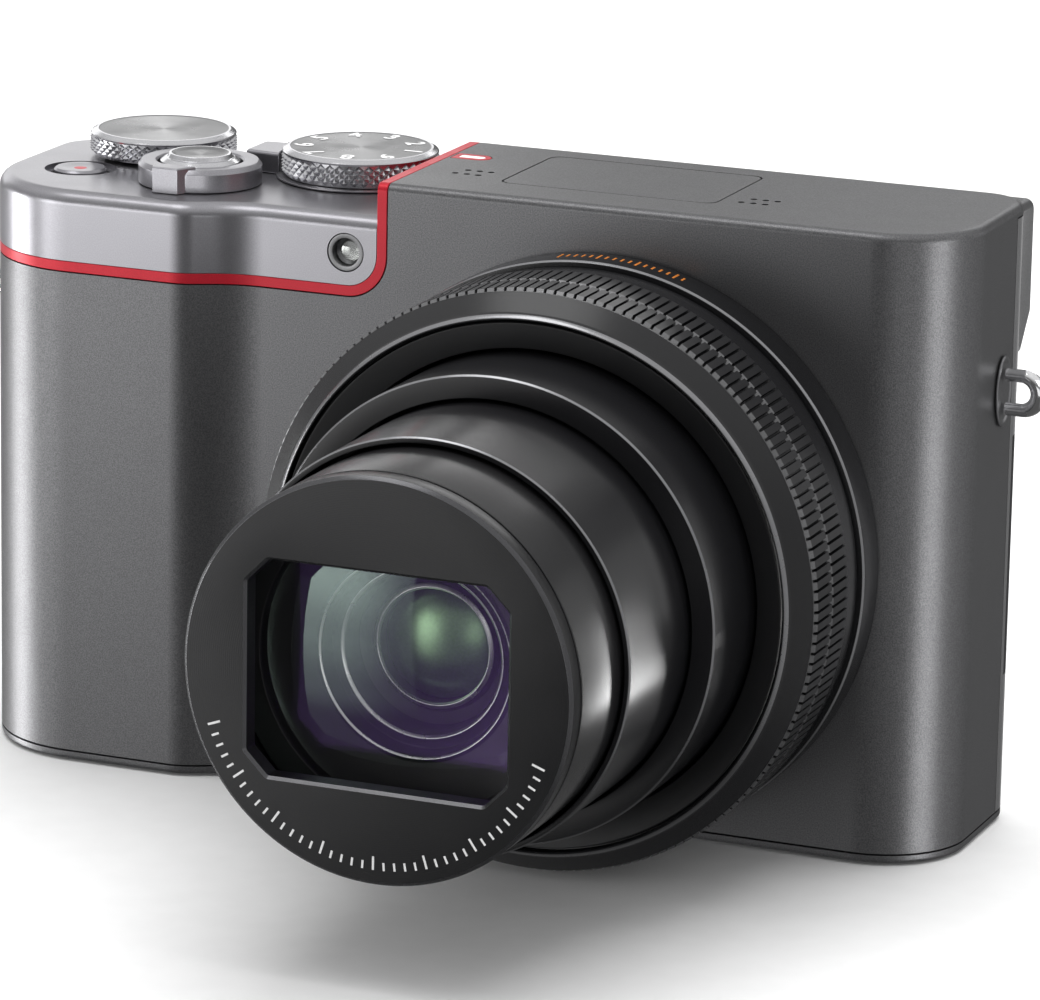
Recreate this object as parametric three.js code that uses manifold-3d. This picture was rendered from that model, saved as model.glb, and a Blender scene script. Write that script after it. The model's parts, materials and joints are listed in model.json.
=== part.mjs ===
// Compact digital camera with a telescoping zoom lens, as an assembly of separate pieces.
//
// Millimetres, +Z up. +X is to the right for someone facing the lens, and the lens looks along -Y.
// The origin is under the middle of the camera, on the plane that its base stands on.
// Depths are measured backwards from the flat front face, which lies at y = FRONT_Y.

import * as THREE from 'three';
import { mergeVertices } from 'three/addons/utils/BufferGeometryUtils.js';
import Module from 'manifold-3d';

const wasm = await Module();
wasm.setup();

// ---------------------------------------------------------------- driving dimensions

const BODY_WIDTH = 110.5;
const BODY_DEPTH = 25.4;
const DECK_Z = 66.1;              // top of the dark right-hand deck
const SILVER_Z = 62.4;            // top of the lower silver deck
const WALL = 1.2;
const SEAM = 0.2;                 // gap between covers that meet
const GAP = 0.3;                  // gap between other touching pieces
const BASE_THICKNESS = 0.9;
const REAR_WALL = 1.4;

const GRIP_PROUD = 2.75;          // how far the grip stands in front of the front face
const GRIP_CREST_X = -29.1;
const GRIP_FOOT_X = -23.8;
const LEFT_CORNER_R = 12.8;
const RIGHT_CORNER_R = 9.35;
const REAR_CORNER_R = 5;
const COVER_SEAM_DEPTH = 19.3;    // where the front and rear covers meet

const BAND_Z = 53.8;              // lower edge of the coloured trim band
const BAND_WIDTH = 1.1;
const BAND_X = -7.95;             // left edge of the band where it climbs to the deck
const BAND_CORNER_R = 3.4;        // inside radius of that corner

const LENS_X = 17.65;
const LENS_Z = 30.86;
const LENS_FRONT_DEPTH = -57.8;
const BASE_RING_R = 30.4;
const CONTROL_RING_R = 30.25;
const BARREL_R = [24.0, 21.2, 20.15];          // rear, middle and front barrels
const BARREL_FRONT = [-30.3, -45.6, -55.3];
const FIXED_BARREL_R = 25.6;
const OPENING_WIDTH = 26.9;
const OPENING_HEIGHT = 21.3;

const EYEPIECE_DEPTH = 29.2;      // rearmost point of the camera
const FRONT_Y = -(LENS_FRONT_DEPTH + EYEPIECE_DEPTH) / 2;

const RECORD_AT = [-46.6, 9.0];     // places on the decks are [x, depth]
const ZOOM_AT = [-32.1, 8.3];
const REAR_DIAL_AT = [-41.8, 19.6];
const REAR_DIAL_R = 8.0;
const MODE_DIAL_AT = [-18.0, 18.5];
const MODE_DIAL_R = 8.5;
const SHAFT_R = 2.0;
const DIAL_Z = SILVER_Z + GAP;
const FLASH_X = [2.9, 27.0];
const FLASH_DEPTH = [6.1, 21.6];
const MICROPHONES = [[-1.2, 9.5], [30.7, 9.3]];
const INDEX_X = [-6.5, -2.3];
const INDEX_DEPTH = 17.0;
const INDEX_WIDTH = 2.6;

const AF_LAMP_AT = [-11.5, 58.4];   // places on the front and back are [x, z]
const AF_LAMP_R = 1.95;
const HUMP_X = [31, 54.3];
const HUMP_DEPTH = 28.5;
const HUMP_TOP = 65.3;
const EYEPIECE_X = [38.6, 51.6];
const EYEPIECE_Z = [53.6, 63.2];
const EYEPIECE_RIM = 1.5;
const DIOPTER_AT = [34.2, 26.9];
const DIOPTER_Z = [57.0, 59.4];
const DISPLAY_X = [-16.5, 51.5];
const DISPLAY_Z = [4.6, 48.6];
const REAR_BUTTONS = {
  playback_button: [-22.4, 36.5],
  quick_menu_button: [-22.4, 7.6],
  display_button: [-46.0, 7.6],
  focus_lock_button: [-22.4, 47.2],
};
const REAR_BUTTON_R = 2.5;
const PAD_AT = [-34.2, 21.5];
const PAD_R = 8.4;
const SET_R = 3.7;
const FLASH_SWITCH_X = [16.5, 22.5];
const FLASH_SWITCH_Z = [55.6, 58.6];
const FLASH_SWITCH_TRAVEL = 2.5;
const THUMB_REST_X = [-50.2, -41.2];
const THUMB_REST_Z = [33.5, 51.5];

const PORT_DEPTH = [COVER_SEAM_DEPTH + 1.2, 24.0];
const PORT_Z = [16.0, 41.5];
const LUG_DEPTH = 15.9;
const LUG_Z = 47.4;
const BATTERY_DOOR_X = [-49.0, -11.5];
const BATTERY_DOOR_DEPTH = [1.6, 17.4];
const LATCH_X = [-20.5, -14.5];
const LATCH_DEPTH = [7.3, 11.7];
const LATCH_TRAVEL = 3;
const TRIPOD_AT = [-2.0, 9.5];
const SCREWS_AT = [[47.0, 20.0], [4.0, 20.5]];
const MOTOR_AT = [44.5, 10];

const HALF = BODY_WIDTH / 2;
const COVER_BOTTOM = BASE_THICKNESS + SEAM;
const BAND_TOP = BAND_Z + BAND_WIDTH;

// ---------------------------------------------------------------- materials

const FINISH = {
  darkMetal: { color: 0x5a5b5e, roughness: 0.42, metalness: 0.75 },
  silverMetal: { color: 0xb4b4ba, roughness: 0.35, metalness: 0.85 },
  spunMetal: { color: 0xc6c6ca, roughness: 0.25, metalness: 0.95 },
  red: { color: 0xc4202c, roughness: 0.35, metalness: 0.3 },
  black: { color: 0x151517, roughness: 0.35, metalness: 0.4 },
  matteBlack: { color: 0x101012, roughness: 0.7, metalness: 0.0 },
  rubber: { color: 0x1c1c1e, roughness: 0.9, metalness: 0.0 },
  glass: { color: 0x2a3038, roughness: 0.05, metalness: 0.1 },
  chrome: { color: 0xdcdce0, roughness: 0.1, metalness: 1.0 },
  frame: { color: 0x8d9094, roughness: 0.5, metalness: 0.8 },
  board: { color: 0x1d5a3a, roughness: 0.6, metalness: 0.1 },
  plastic: { color: 0x3b3d42, roughness: 0.6, metalness: 0.0 },
  brass: { color: 0xb89a55, roughness: 0.4, metalness: 0.9 },
};

// ---------------------------------------------------------------- solids from three.js geometry

function solidFrom(geometry) {
  const bare = new THREE.BufferGeometry();
  bare.setAttribute('position', geometry.getAttribute('position'));
  if (geometry.index) bare.setIndex(geometry.index);
  const merged = mergeVertices(bare, 1e-4);
  const position = merged.getAttribute('position');
  const index = merged.index.array;
  const triangles = [];
  const a = new THREE.Vector3();
  const b = new THREE.Vector3();
  const c = new THREE.Vector3();
  let volume = 0;
  for (let i = 0; i < index.length; i += 3) {
    const [p, q, r] = [index[i], index[i + 1], index[i + 2]];
    if (p === q || q === r || r === p) continue;
    triangles.push(p, q, r);
    a.fromBufferAttribute(position, p);
    b.fromBufferAttribute(position, q);
    c.fromBufferAttribute(position, r);
    volume += a.dot(b.cross(c));
  }
  if (volume < 0) triangles.reverse();
  return new wasm.Manifold(new wasm.Mesh({
    numProp: 3,
    vertProperties: new Float32Array(position.array),
    triVerts: new Uint32Array(triangles),
  }));
}

function geometryFrom(solid) {
  const mesh = solid.getMesh();
  const geometry = new THREE.BufferGeometry();
  geometry.setAttribute('position', new THREE.BufferAttribute(mesh.vertProperties.slice(), 3));
  geometry.setIndex(new THREE.BufferAttribute(mesh.triVerts.slice(), 1));
  geometry.computeVertexNormals();
  return geometry;
}

// A shape in the (x, depth) plane, raised from z0 to z1.
function upright(shape, z0, z1, curveSegments = 4) {
  const options = { depth: z1 - z0, bevelEnabled: false, curveSegments };
  return solidFrom(new THREE.ExtrudeGeometry(shape, options).translate(0, 0, z0));
}

// A shape in the (x, z) plane, run back from depth d0 to depth d1.
function deep(shape, d0, d1, curveSegments = 4) {
  const options = { depth: d1 - d0, bevelEnabled: false, curveSegments };
  const geometry = new THREE.ExtrudeGeometry(shape, options).rotateX(Math.PI / 2);
  return solidFrom(geometry.translate(0, d1, 0));
}

// A shape in the (depth, z) plane, run from x0 to x1.
function across(shape, x0, x1, curveSegments = 4) {
  const options = { depth: x1 - x0, bevelEnabled: false, curveSegments };
  const axes = [new THREE.Vector3(0, 1, 0), new THREE.Vector3(0, 0, 1), new THREE.Vector3(1, 0, 0)];
  const geometry = new THREE.ExtrudeGeometry(shape, options);
  geometry.applyMatrix4(new THREE.Matrix4().makeBasis(...axes));
  return solidFrom(geometry.translate(x0, 0, 0));
}

function box(x, depth, z) {
  const geometry = new THREE.BoxGeometry(x[1] - x[0], depth[1] - depth[0], z[1] - z[0]);
  geometry.translate((x[0] + x[1]) / 2, (depth[0] + depth[1]) / 2, (z[0] + z[1]) / 2);
  return solidFrom(geometry);
}

// A turned piece whose axis is Z; profile points are [radius, z].
function turnedUp(profile, segments = 24) {
  const points = profile.map(([r, z]) => new THREE.Vector2(r, z));
  return solidFrom(new THREE.LatheGeometry(points, segments).rotateX(Math.PI / 2));
}

// A turned piece whose axis runs front to back; profile points are [radius, depth].
function turnedBack(profile, segments = 24) {
  const points = profile.map(([r, depth]) => new THREE.Vector2(r, depth));
  return solidFrom(new THREE.LatheGeometry(points, segments));
}

function discUp(radius, z0, z1, segments = 20) {
  return turnedUp([[0, z0], [radius, z0], [radius, z1], [0, z1]], segments);
}

function discBack(radius, d0, d1, segments = 20) {
  return turnedBack([[0, d0], [radius, d0], [radius, d1], [0, d1]], segments);
}

function ringBack(inner, outer, d0, d1, segments = 36) {
  return turnedBack([[inner, d0], [outer, d0], [outer, d1], [inner, d1], [inner, d0]], segments);
}

function polygon(points) {
  return new THREE.Shape(points.map(([u, v]) => new THREE.Vector2(u, v)));
}

function roundedRect(u0, u1, v0, v1, radius) {
  const shape = new THREE.Shape();
  shape.moveTo(u0 + radius, v0);
  shape.lineTo(u1 - radius, v0);
  shape.absarc(u1 - radius, v0 + radius, radius, -Math.PI / 2, 0);
  shape.lineTo(u1, v1 - radius);
  shape.absarc(u1 - radius, v1 - radius, radius, 0, Math.PI / 2);
  shape.lineTo(u0 + radius, v1);
  shape.absarc(u0 + radius, v1 - radius, radius, Math.PI / 2, Math.PI);
  shape.lineTo(u0, v0 + radius);
  shape.absarc(u0 + radius, v0 + radius, radius, Math.PI, 1.5 * Math.PI);
  return shape;
}

// ---------------------------------------------------------------- the body's outlines

// Plan outline of the camera, moved inwards by inset.
function bodyOutline(inset) {
  const ramp = Math.atan2(GRIP_PROUD, GRIP_FOOT_X - GRIP_CREST_X);
  const shift = inset * Math.tan(ramp / 2);
  const rear = BODY_DEPTH - REAR_CORNER_R;
  const shape = new THREE.Shape();
  shape.moveTo(-HALF + inset, rear);
  shape.lineTo(-HALF + inset, -GRIP_PROUD + LEFT_CORNER_R);
  shape.absarc(-HALF + LEFT_CORNER_R, -GRIP_PROUD + LEFT_CORNER_R,
    LEFT_CORNER_R - inset, Math.PI, 1.5 * Math.PI);
  shape.lineTo(GRIP_CREST_X - shift, -GRIP_PROUD + inset);
  shape.lineTo(GRIP_FOOT_X - shift, inset);
  shape.lineTo(HALF - RIGHT_CORNER_R, inset);
  shape.absarc(HALF - RIGHT_CORNER_R, RIGHT_CORNER_R, RIGHT_CORNER_R - inset, -Math.PI / 2, 0);
  shape.lineTo(HALF - inset, rear);
  shape.absarc(HALF - REAR_CORNER_R, rear, REAR_CORNER_R - inset, 0, Math.PI / 2);
  shape.lineTo(-HALF + REAR_CORNER_R, BODY_DEPTH - inset);
  shape.absarc(-HALF + REAR_CORNER_R, rear, REAR_CORNER_R - inset, Math.PI / 2, Math.PI);
  return shape;
}

// The region of the front elevation above the band and to the left of its climb, grown by margin.
function silverRegion(margin) {
  const right = BAND_X + margin;
  const bottom = BAND_TOP - margin;
  const radius = BAND_CORNER_R + margin;
  const shape = new THREE.Shape();
  shape.moveTo(-HALF - 5, bottom);
  shape.lineTo(right - radius, bottom);
  shape.absarc(right - radius, bottom + radius, radius, -Math.PI / 2, 0);
  shape.lineTo(right, DECK_Z + 5);
  shape.lineTo(-HALF - 5, DECK_Z + 5);
  return shape;
}

const FULL_DEPTH = [-GRIP_PROUD - 5, BODY_DEPTH + 5];
const bodyWalls = upright(bodyOutline(0), COVER_BOTTOM, DECK_Z)
  .subtract(upright(bodyOutline(WALL), COVER_BOTTOM - 1, DECK_Z + 1));
const insideOfBand = deep(silverRegion(0), ...FULL_DEPTH);
const outsideOfBand = deep(silverRegion(BAND_WIDTH), ...FULL_DEPTH);
const darkCut = deep(silverRegion(BAND_WIDTH + SEAM), ...FULL_DEPTH);
const frontHalf = box([-80, 80], [-20, COVER_SEAM_DEPTH], [-5, 90]);
const rearHalf = box([-80, 80], [COVER_SEAM_DEPTH + SEAM, 60], [-5, 90]);

function at(solid, x, depth, z) {
  return solid.translate([x, depth, z]);
}

// ---------------------------------------------------------------- covers

function microphoneHoles(x, depth) {
  const pitch = 1.3;
  const holes = [];
  for (let row = 0; row < 2; row += 1) {
    for (let column = -1; column <= 1; column += 1) {
      holes.push(at(discUp(0.36, DECK_Z - 3, DECK_Z + 1, 8),
        x + (column + row / 2 - 0.25) * pitch, depth + (row - 0.5) * pitch * 1.5, 0));
    }
  }
  return holes;
}

function indexShape(margin) {
  const half = INDEX_WIDTH / 2 + margin;
  const right = INDEX_X[1] + margin - half;
  const shape = new THREE.Shape();
  shape.moveTo(INDEX_X[0] - margin, INDEX_DEPTH - half);
  shape.lineTo(right, INDEX_DEPTH - half);
  shape.absarc(right, INDEX_DEPTH, half, -Math.PI / 2, Math.PI / 2);
  shape.lineTo(INDEX_X[0] - margin, INDEX_DEPTH + half);
  return shape;
}

function frontCover() {
  const deck = upright(bodyOutline(0), DECK_Z - WALL, DECK_Z);
  let solid = bodyWalls.intersect(frontHalf).add(deck).subtract(darkCut);
  solid = solid.subtract(at(discBack(26.2, -5, 5, 36), LENS_X, 0, LENS_Z));
  solid = solid.subtract(box(FLASH_X, FLASH_DEPTH, [DECK_Z - 5, DECK_Z + 5]));
  solid = solid.subtract(upright(indexShape(SEAM / 2), DECK_Z - 0.5, DECK_Z + 1));
  for (const [x, depth] of MICROPHONES) {
    for (const hole of microphoneHoles(x, depth)) {
      solid = solid.subtract(hole);
    }
  }
  return solid;
}

function topCover() {
  const deck = upright(bodyOutline(0), SILVER_Z - WALL, SILVER_Z);
  const walls = bodyWalls.intersect(box([-80, 80], [-20, 60], [0, SILVER_Z]));
  const region = deep(silverRegion(-SEAM), ...FULL_DEPTH);
  let solid = walls.add(deck).intersect(region);
  for (const [x, depth] of [ZOOM_AT, REAR_DIAL_AT, MODE_DIAL_AT]) {
    solid = solid.subtract(at(discUp(SHAFT_R + GAP, SILVER_Z - 5, SILVER_Z + 5, 20), x, depth, 0));
  }
  solid = solid.subtract(at(discUp(3.3, SILVER_Z - 5, SILVER_Z + 5), ...RECORD_AT, 0));
  solid = solid.subtract(at(discUp(3.85, SILVER_Z - 0.5, SILVER_Z + 5), ...RECORD_AT, 0));
  return solid.subtract(at(discBack(AF_LAMP_R + 0.25, -5, 5), AF_LAMP_AT[0], 0, AF_LAMP_AT[1]));
}

function bandClimb(margin) {
  return box([BAND_X - margin, BAND_X + BAND_WIDTH + margin], [0, BODY_DEPTH + margin],
    [SILVER_Z - 1 - margin, DECK_Z]);
}

function trimBand() {
  const strip = outsideOfBand.subtract(insideOfBand);
  const climb = bandClimb(0);
  const runs = bodyWalls.intersect(frontHalf).intersect(strip);
  return runs.add(climb);
}

function rearHump(inset) {
  const front = COVER_SEAM_DEPTH + 2;
  const side = polygon([
    [front, 49.2 + inset], [BODY_DEPTH, 49.2 + inset], [HUMP_DEPTH - inset, 53.2 + inset],
    [HUMP_DEPTH - inset, HUMP_TOP - inset], [front, HUMP_TOP - inset]]);
  return across(side, HUMP_X[0] + inset, HUMP_X[1] - inset);
}

// Outline of the eyepiece, moved inwards by inset.
function eyepieceShape(inset, radius) {
  return roundedRect(EYEPIECE_X[0] + inset, EYEPIECE_X[1] - inset,
    EYEPIECE_Z[0] + inset, EYEPIECE_Z[1] - inset, radius);
}

function rearCover() {
  const top = DECK_Z - WALL - SEAM;
  const back = upright(bodyOutline(0), COVER_BOTTOM, top)
    .intersect(box([-80, 80], [BODY_DEPTH - REAR_WALL, 60], [0, 90]));
  let solid = bodyWalls.intersect(rearHalf).intersect(box([-80, 80], [0, 60], [0, top]));
  solid = solid.add(back).subtract(deep(silverRegion(SEAM), ...FULL_DEPTH));
  solid = solid.subtract(bandClimb(SEAM));
  const deckKeepOut = upright(bodyOutline(-SEAM), top, DECK_Z + 2);
  solid = solid.add(rearHump(0).subtract(deckKeepOut)).subtract(rearHump(WALL));
  solid = solid.subtract(deep(eyepieceShape(EYEPIECE_RIM, 1), BODY_DEPTH, HUMP_DEPTH + 1));
  solid = solid.subtract(box([DIOPTER_AT[0] - 2.5, DIOPTER_AT[0] + 2.5],
    [BODY_DEPTH - 3, HUMP_DEPTH + 1], [DIOPTER_Z[0] - GAP, DIOPTER_Z[1] + GAP]));
  const display = roundedRect(DISPLAY_X[0] - SEAM, DISPLAY_X[1] + SEAM,
    DISPLAY_Z[0] - SEAM, DISPLAY_Z[1] + SEAM, 1.5);
  solid = solid.subtract(deep(display, BODY_DEPTH - 4, BODY_DEPTH + 1));
  for (const [x, z] of Object.values(REAR_BUTTONS)) {
    solid = solid.subtract(at(discBack(REAR_BUTTON_R + GAP, 20, 30), x, 0, z));
  }
  solid = solid.subtract(at(discBack(PAD_R + GAP, 20, 30, 40), PAD_AT[0], 0, PAD_AT[1]));
  solid = solid.subtract(box(
    [FLASH_SWITCH_X[0] - GAP, FLASH_SWITCH_X[1] + GAP + FLASH_SWITCH_TRAVEL],
    [20, 30], [FLASH_SWITCH_Z[0] - GAP, FLASH_SWITCH_Z[1] + GAP]));
  return solid.subtract(portOpening(SEAM));
}

// The terminal door is a stretch of the right-hand wall behind the cover seam.
function portOpening(margin) {
  return box([HALF - 6, HALF + 2], [PORT_DEPTH[0] - margin, PORT_DEPTH[1] + margin],
    [PORT_Z[0] - margin, PORT_Z[1] + margin]);
}

function portDoor() {
  return bodyWalls.intersect(portOpening(0));
}

function baseCover() {
  const bevel = 0.6;
  let solid = upright(bodyOutline(0), bevel, BASE_THICKNESS)
    .add(upright(bodyOutline(bevel), 0, bevel + 0.1));
  solid = solid.subtract(box(BATTERY_DOOR_X.map((x, i) => x + (i ? SEAM : -SEAM)),
    BATTERY_DOOR_DEPTH.map((d, i) => d + (i ? SEAM : -SEAM)), [-1, 2]));
  solid = solid.subtract(at(discUp(4.2, -1, 2), ...TRIPOD_AT, 0));
  for (const [x, depth] of SCREWS_AT) {
    solid = solid.subtract(at(discUp(1.5, -1, 2, 16), x, depth, 0));
  }
  return solid;
}

function batteryDoor() {
  const plate = box(BATTERY_DOOR_X, BATTERY_DOOR_DEPTH, [0.05, BASE_THICKNESS]);
  return plate.subtract(box([LATCH_X[0] - GAP, LATCH_X[1] + GAP + LATCH_TRAVEL],
    LATCH_DEPTH.map((d, i) => d + (i ? GAP : -GAP)), [-1, 0.6]));
}

function batteryLatch() {
  return box(LATCH_X, LATCH_DEPTH, [0.1, 0.45]);
}

function screw() {
  const slot = box([-1.1, 1.1], [-0.2, 0.2], [0, 0.35]);
  const profile = [[0, 0.15], [1.2, 0.15], [1.2, 0.7], [0.6, 0.9], [0.6, 5], [0, 5]];
  return turnedUp(profile, 16).subtract(slot);
}

function tripodSocket() {
  const flange = BASE_THICKNESS + GAP;
  const profile = [[3.1, 0.05], [3.9, 0.05], [3.9, flange], [6.5, flange], [6.5, 2.4], [4.6, 2.4],
    [4.6, 5.5], [3.1, 5.5], [3.1, 0.05]];
  return turnedUp(profile, 20);
}

// ---------------------------------------------------------------- pieces inside the body

function chassis() {
  const section = polygon([[18.8, 5.6], [20.4, 5.6], [20.4, 48.4], [19.6, 48.4],
    [19.6, 6.4], [18.8, 6.4]]);
  const cableHole = at(discBack(5, 15, 25, 16), -23, 0, 25);
  return across(section, -30, 53).subtract(cableHole);
}

function sensorModule() {
  return box([-9.5, 9.5], [14.9, 16.4], [-8, 8]).add(box([-6.6, 6.6], [14.4, 15], [-4.4, 4.4]));
}

function strapLug() {
  const reach = 1.4;
  const radius = 2.0;
  const wire = 0.66;
  const path = new THREE.CurvePath();
  const corner = (x, z) => new THREE.Vector3(x, 0, z);
  const k = radius * 0.5523;
  path.add(new THREE.LineCurve3(corner(0, -radius), corner(reach, -radius)));
  path.add(new THREE.CubicBezierCurve3(corner(reach, -radius), corner(reach + k, -radius),
    corner(reach + radius, -k), corner(reach + radius, 0)));
  path.add(new THREE.CubicBezierCurve3(corner(reach + radius, 0), corner(reach + radius, k),
    corner(reach + k, radius), corner(reach, radius)));
  path.add(new THREE.LineCurve3(corner(reach, radius), corner(0, radius)));
  const section = new THREE.Shape().absarc(0, 0, wire, 0, 2 * Math.PI);
  const options = { steps: 14, extrudePath: path, bevelEnabled: false, curveSegments: 4 };
  return solidFrom(new THREE.ExtrudeGeometry(section, options));
}

function strapPlate() {
  return solidFrom(new THREE.CylinderGeometry(1, 1, 0.45, 28)
    .rotateZ(Math.PI / 2).scale(1, 2.35, 3.75));
}

// ---------------------------------------------------------------- lens, in (radius, depth)

function lensBaseRing() {
  const front = -4.6;
  return turnedBack([[26.4, -SEAM], [BASE_RING_R, -SEAM], [BASE_RING_R, front + 0.5],
    [BASE_RING_R - 0.5, front], [26.4, front], [26.4, -SEAM]], 40);
}

function controlRing() {
  const smooth = CONTROL_RING_R - 0.45;
  return turnedBack([[26.1, -4.9], [smooth, -4.9], [smooth, -8.8], [CONTROL_RING_R, -8.8],
    [CONTROL_RING_R, -18.4], [29.7, -18.95], [28.15, -20.0], [27.6, -20.7], [27.5, -19.4],
    [26.1, -19.0], [26.1, -4.9]], 40);
}

function fixedBarrel() {
  const inner = BARREL_R[0] + 0.4;
  return turnedBack([[inner, -19.5], [27.2, -20.4], [27.2, -19.8], [FIXED_BARREL_R, -19.2],
    [FIXED_BARREL_R, 13.4], [10, 13.4], [10, 12.2], [inner, 12.2], [inner, -19.5]], 36);
}

function rearBarrel() {
  const front = BARREL_FRONT[0];
  const outer = BARREL_R[0];
  const lip = BARREL_R[1] + 0.4;
  return turnedBack([[lip, front], [outer - 0.3, front], [outer, front + 0.3], [outer, -0.3],
    [22.7, -0.3], [22.7, front + 1.6], [lip, front + 1.6], [lip, front]], 36);
}

function middleBarrel() {
  const front = BARREL_FRONT[1];
  const outer = BARREL_R[1];
  const bore = BARREL_R[2] + 0.4;
  const tail = -17.6;
  return turnedBack([[bore, front], [outer - 0.25, front], [outer, front + 0.25],
    [outer, tail - 2], [22.3, tail - 2], [22.3, tail], [bore, tail], [bore, front]], 36);
}

function frontBarrel() {
  const outer = BARREL_R[2];
  return ringBack(18.6, outer, BARREL_FRONT[2], -35.8);
}

// Opening of the front ring: a rectangle with cut corners, half its size given by margins.
function openingShape(grow) {
  const u = OPENING_WIDTH / 2 + grow;
  const v = OPENING_HEIGHT / 2 + grow;
  const cut = 2.3;
  return polygon([[-u + cut, -v], [u - cut, -v], [u, -v + cut], [u, v - cut],
    [u - cut, v], [-u + cut, v], [-u, v - cut], [-u, -v + cut]]);
}

function frontRing() {
  const outer = BARREL_R[2];
  const back = BARREL_FRONT[2] - GAP;
  const disc = turnedBack([[0, LENS_FRONT_DEPTH], [outer - 0.3, LENS_FRONT_DEPTH],
    [outer, LENS_FRONT_DEPTH + 0.3], [outer, back], [0, back]], 36);
  return disc.subtract(deep(openingShape(0), LENS_FRONT_DEPTH - 1, back + 1));
}

function glassDome(radius, front, rise, back) {
  const curve = [[0, back], [radius, back]];
  const steps = 5;
  for (let i = 0; i <= steps; i += 1) {
    const r = radius * (1 - i / steps);
    curve.push([r, front + rise * (r / radius) ** 2]);
  }
  return turnedBack(curve, 28);
}

function lensCell() {
  return turnedBack([[17.6, -49.4], [18.2, -49.4], [18.2, -38], [6.4, -38], [6.4, -42.6],
    [7.2, -43.4], [9.8, -43.6], [10.6, -45.2], [14.0, -46.2], [15.2, -48.2], [17.6, -49.4]], 28);
}

// ---------------------------------------------------------------- controls, in local frames

function dial(radius, height, bevel, shaftLength) {
  return turnedUp([[0, -shaftLength], [SHAFT_R, -shaftLength], [SHAFT_R, 0], [radius, 0],
    [radius, height - bevel], [radius - bevel, height], [0, height]], 32);
}

function powerLever() {
  const thin = 0.2;
  const arm = polygon([[-12.4, -2.6], [-4, -3.2], [-4, 3.2], [-12.4, 2.6]]);
  const hub = turnedUp([[2.6, 0], [7.0, 0], [7.0, thin], [2.6, thin], [2.6, 0]], 24);
  const keepOut = discUp(MODE_DIAL_R + 0.4, thin, 5, 24);
  const bore = discUp(2.6, -1, 5, 16);
  return hub.add(upright(arm, 0, 2.2).subtract(keepOut)).subtract(bore);
}

function zoomLever() {
  const ring = turnedUp([[4.6, 0], [6.6, 0], [6.6, 1.85], [6.25, 2.2], [4.6, 2.2], [4.6, 0]], 28);
  const tab = polygon([[-2.0, -7.5], [0.9, -7.5], [1.6, -5.6], [-2.7, -5.6]]);
  return ring.add(upright(tab, 0, 2.5));
}

function shutterButton() {
  return turnedUp([[0, -3.5], [SHAFT_R, -3.5], [SHAFT_R, 1.0], [4.2, 1.0], [4.2, 2.2], [3.9, 2.45],
    [3.5, 2.55], [3.3, 2.95], [0, 2.75]], 24);
}

function recordButton() {
  return turnedUp([[0, -2.5], [2.9, -2.5], [2.9, 0.15], [2.6, 0.3], [0, 0.2]], 28);
}

function flashHead() {
  const edge = 0.2;
  const body = box([FLASH_X[0] + edge, FLASH_X[1] - edge],
    [FLASH_DEPTH[0] + edge, FLASH_DEPTH[1] - edge], [DECK_Z - 3.9, DECK_Z]);
  const notch = box([FLASH_X[0] + 2.5, FLASH_X[1] - 2.5],
    [FLASH_DEPTH[0] - 1, FLASH_DEPTH[0] + 1.6], [DECK_Z - 3.4, DECK_Z - 0.9]);
  const hollow = box([FLASH_X[0] + 3, FLASH_X[1] - 3],
    [FLASH_DEPTH[0] + 3.5, FLASH_DEPTH[1] - 2], [DECK_Z - 5, DECK_Z - 1.2]);
  // The lower front corner leans back, so that it clears the deck as the head turns up.
  const lean = polygon([[FLASH_DEPTH[0] - 1, DECK_Z - 1.5], [FLASH_DEPTH[0] + edge, DECK_Z - 1.5],
    [FLASH_DEPTH[0] + 0.7, DECK_Z - 3.9], [FLASH_DEPTH[0] + 0.7, DECK_Z - 5],
    [FLASH_DEPTH[0] - 1, DECK_Z - 5]]);
  return body.subtract(notch).subtract(hollow).subtract(across(lean, ...FLASH_X));
}

function flashWindow() {
  return box([FLASH_X[0] + 2.8, FLASH_X[1] - 2.8],
    [FLASH_DEPTH[0] + 0.6, FLASH_DEPTH[0] + 1.3], [DECK_Z - 3.1, DECK_Z - 1.2]);
}

function rearButton() {
  return turnedBack([[0, -2.2], [REAR_BUTTON_R, -2.2], [REAR_BUTTON_R, 0.35],
    [REAR_BUTTON_R - 0.25, 0.6], [0, 0.6]], 24);
}

function controlPad() {
  const bore = SET_R + GAP;
  return turnedBack([[bore, -1.6], [PAD_R, -1.6], [PAD_R, 0.4], [PAD_R - 0.4, 0.8],
    [bore, 0.6], [bore, -1.6]], 28);
}

function setButton() {
  return turnedBack([[0, -1.8], [SET_R, -1.8], [SET_R, 0.5], [SET_R - 0.3, 0.8], [0, 0.7]], 28);
}

function zoomGear() {
  const teeth = 18;
  const root = 4.5;
  const tip = 5.5;
  const shape = new THREE.Shape();
  for (let i = 0; i < teeth; i += 1) {
    for (const [part, radius] of [[0, root], [0.3, tip], [0.55, tip], [0.85, root]]) {
      const angle = ((i + part) / teeth) * 2 * Math.PI;
      const point = [radius * Math.cos(angle), radius * Math.sin(angle)];
      if (i + part === 0) shape.moveTo(...point);
      else shape.lineTo(...point);
    }
  }
  return deep(shape, 9.6, 12.0);
}

// ---------------------------------------------------------------- assembly

const camera = new THREE.Group();
const body = new THREE.Group();
body.position.y = FRONT_Y;
camera.add(body);
const lens = new THREE.Group();
lens.position.set(LENS_X, 0, LENS_Z);
body.add(lens);

function add(parent, name, solid, finish, place = [0, 0, 0], turn = [0, 0, 0]) {
  const mesh = new THREE.Mesh(geometryFrom(solid), new THREE.MeshStandardMaterial(FINISH[finish]));
  mesh.name = name;
  mesh.position.set(...place);
  mesh.rotation.set(...turn);
  parent.add(mesh);
}

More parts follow.
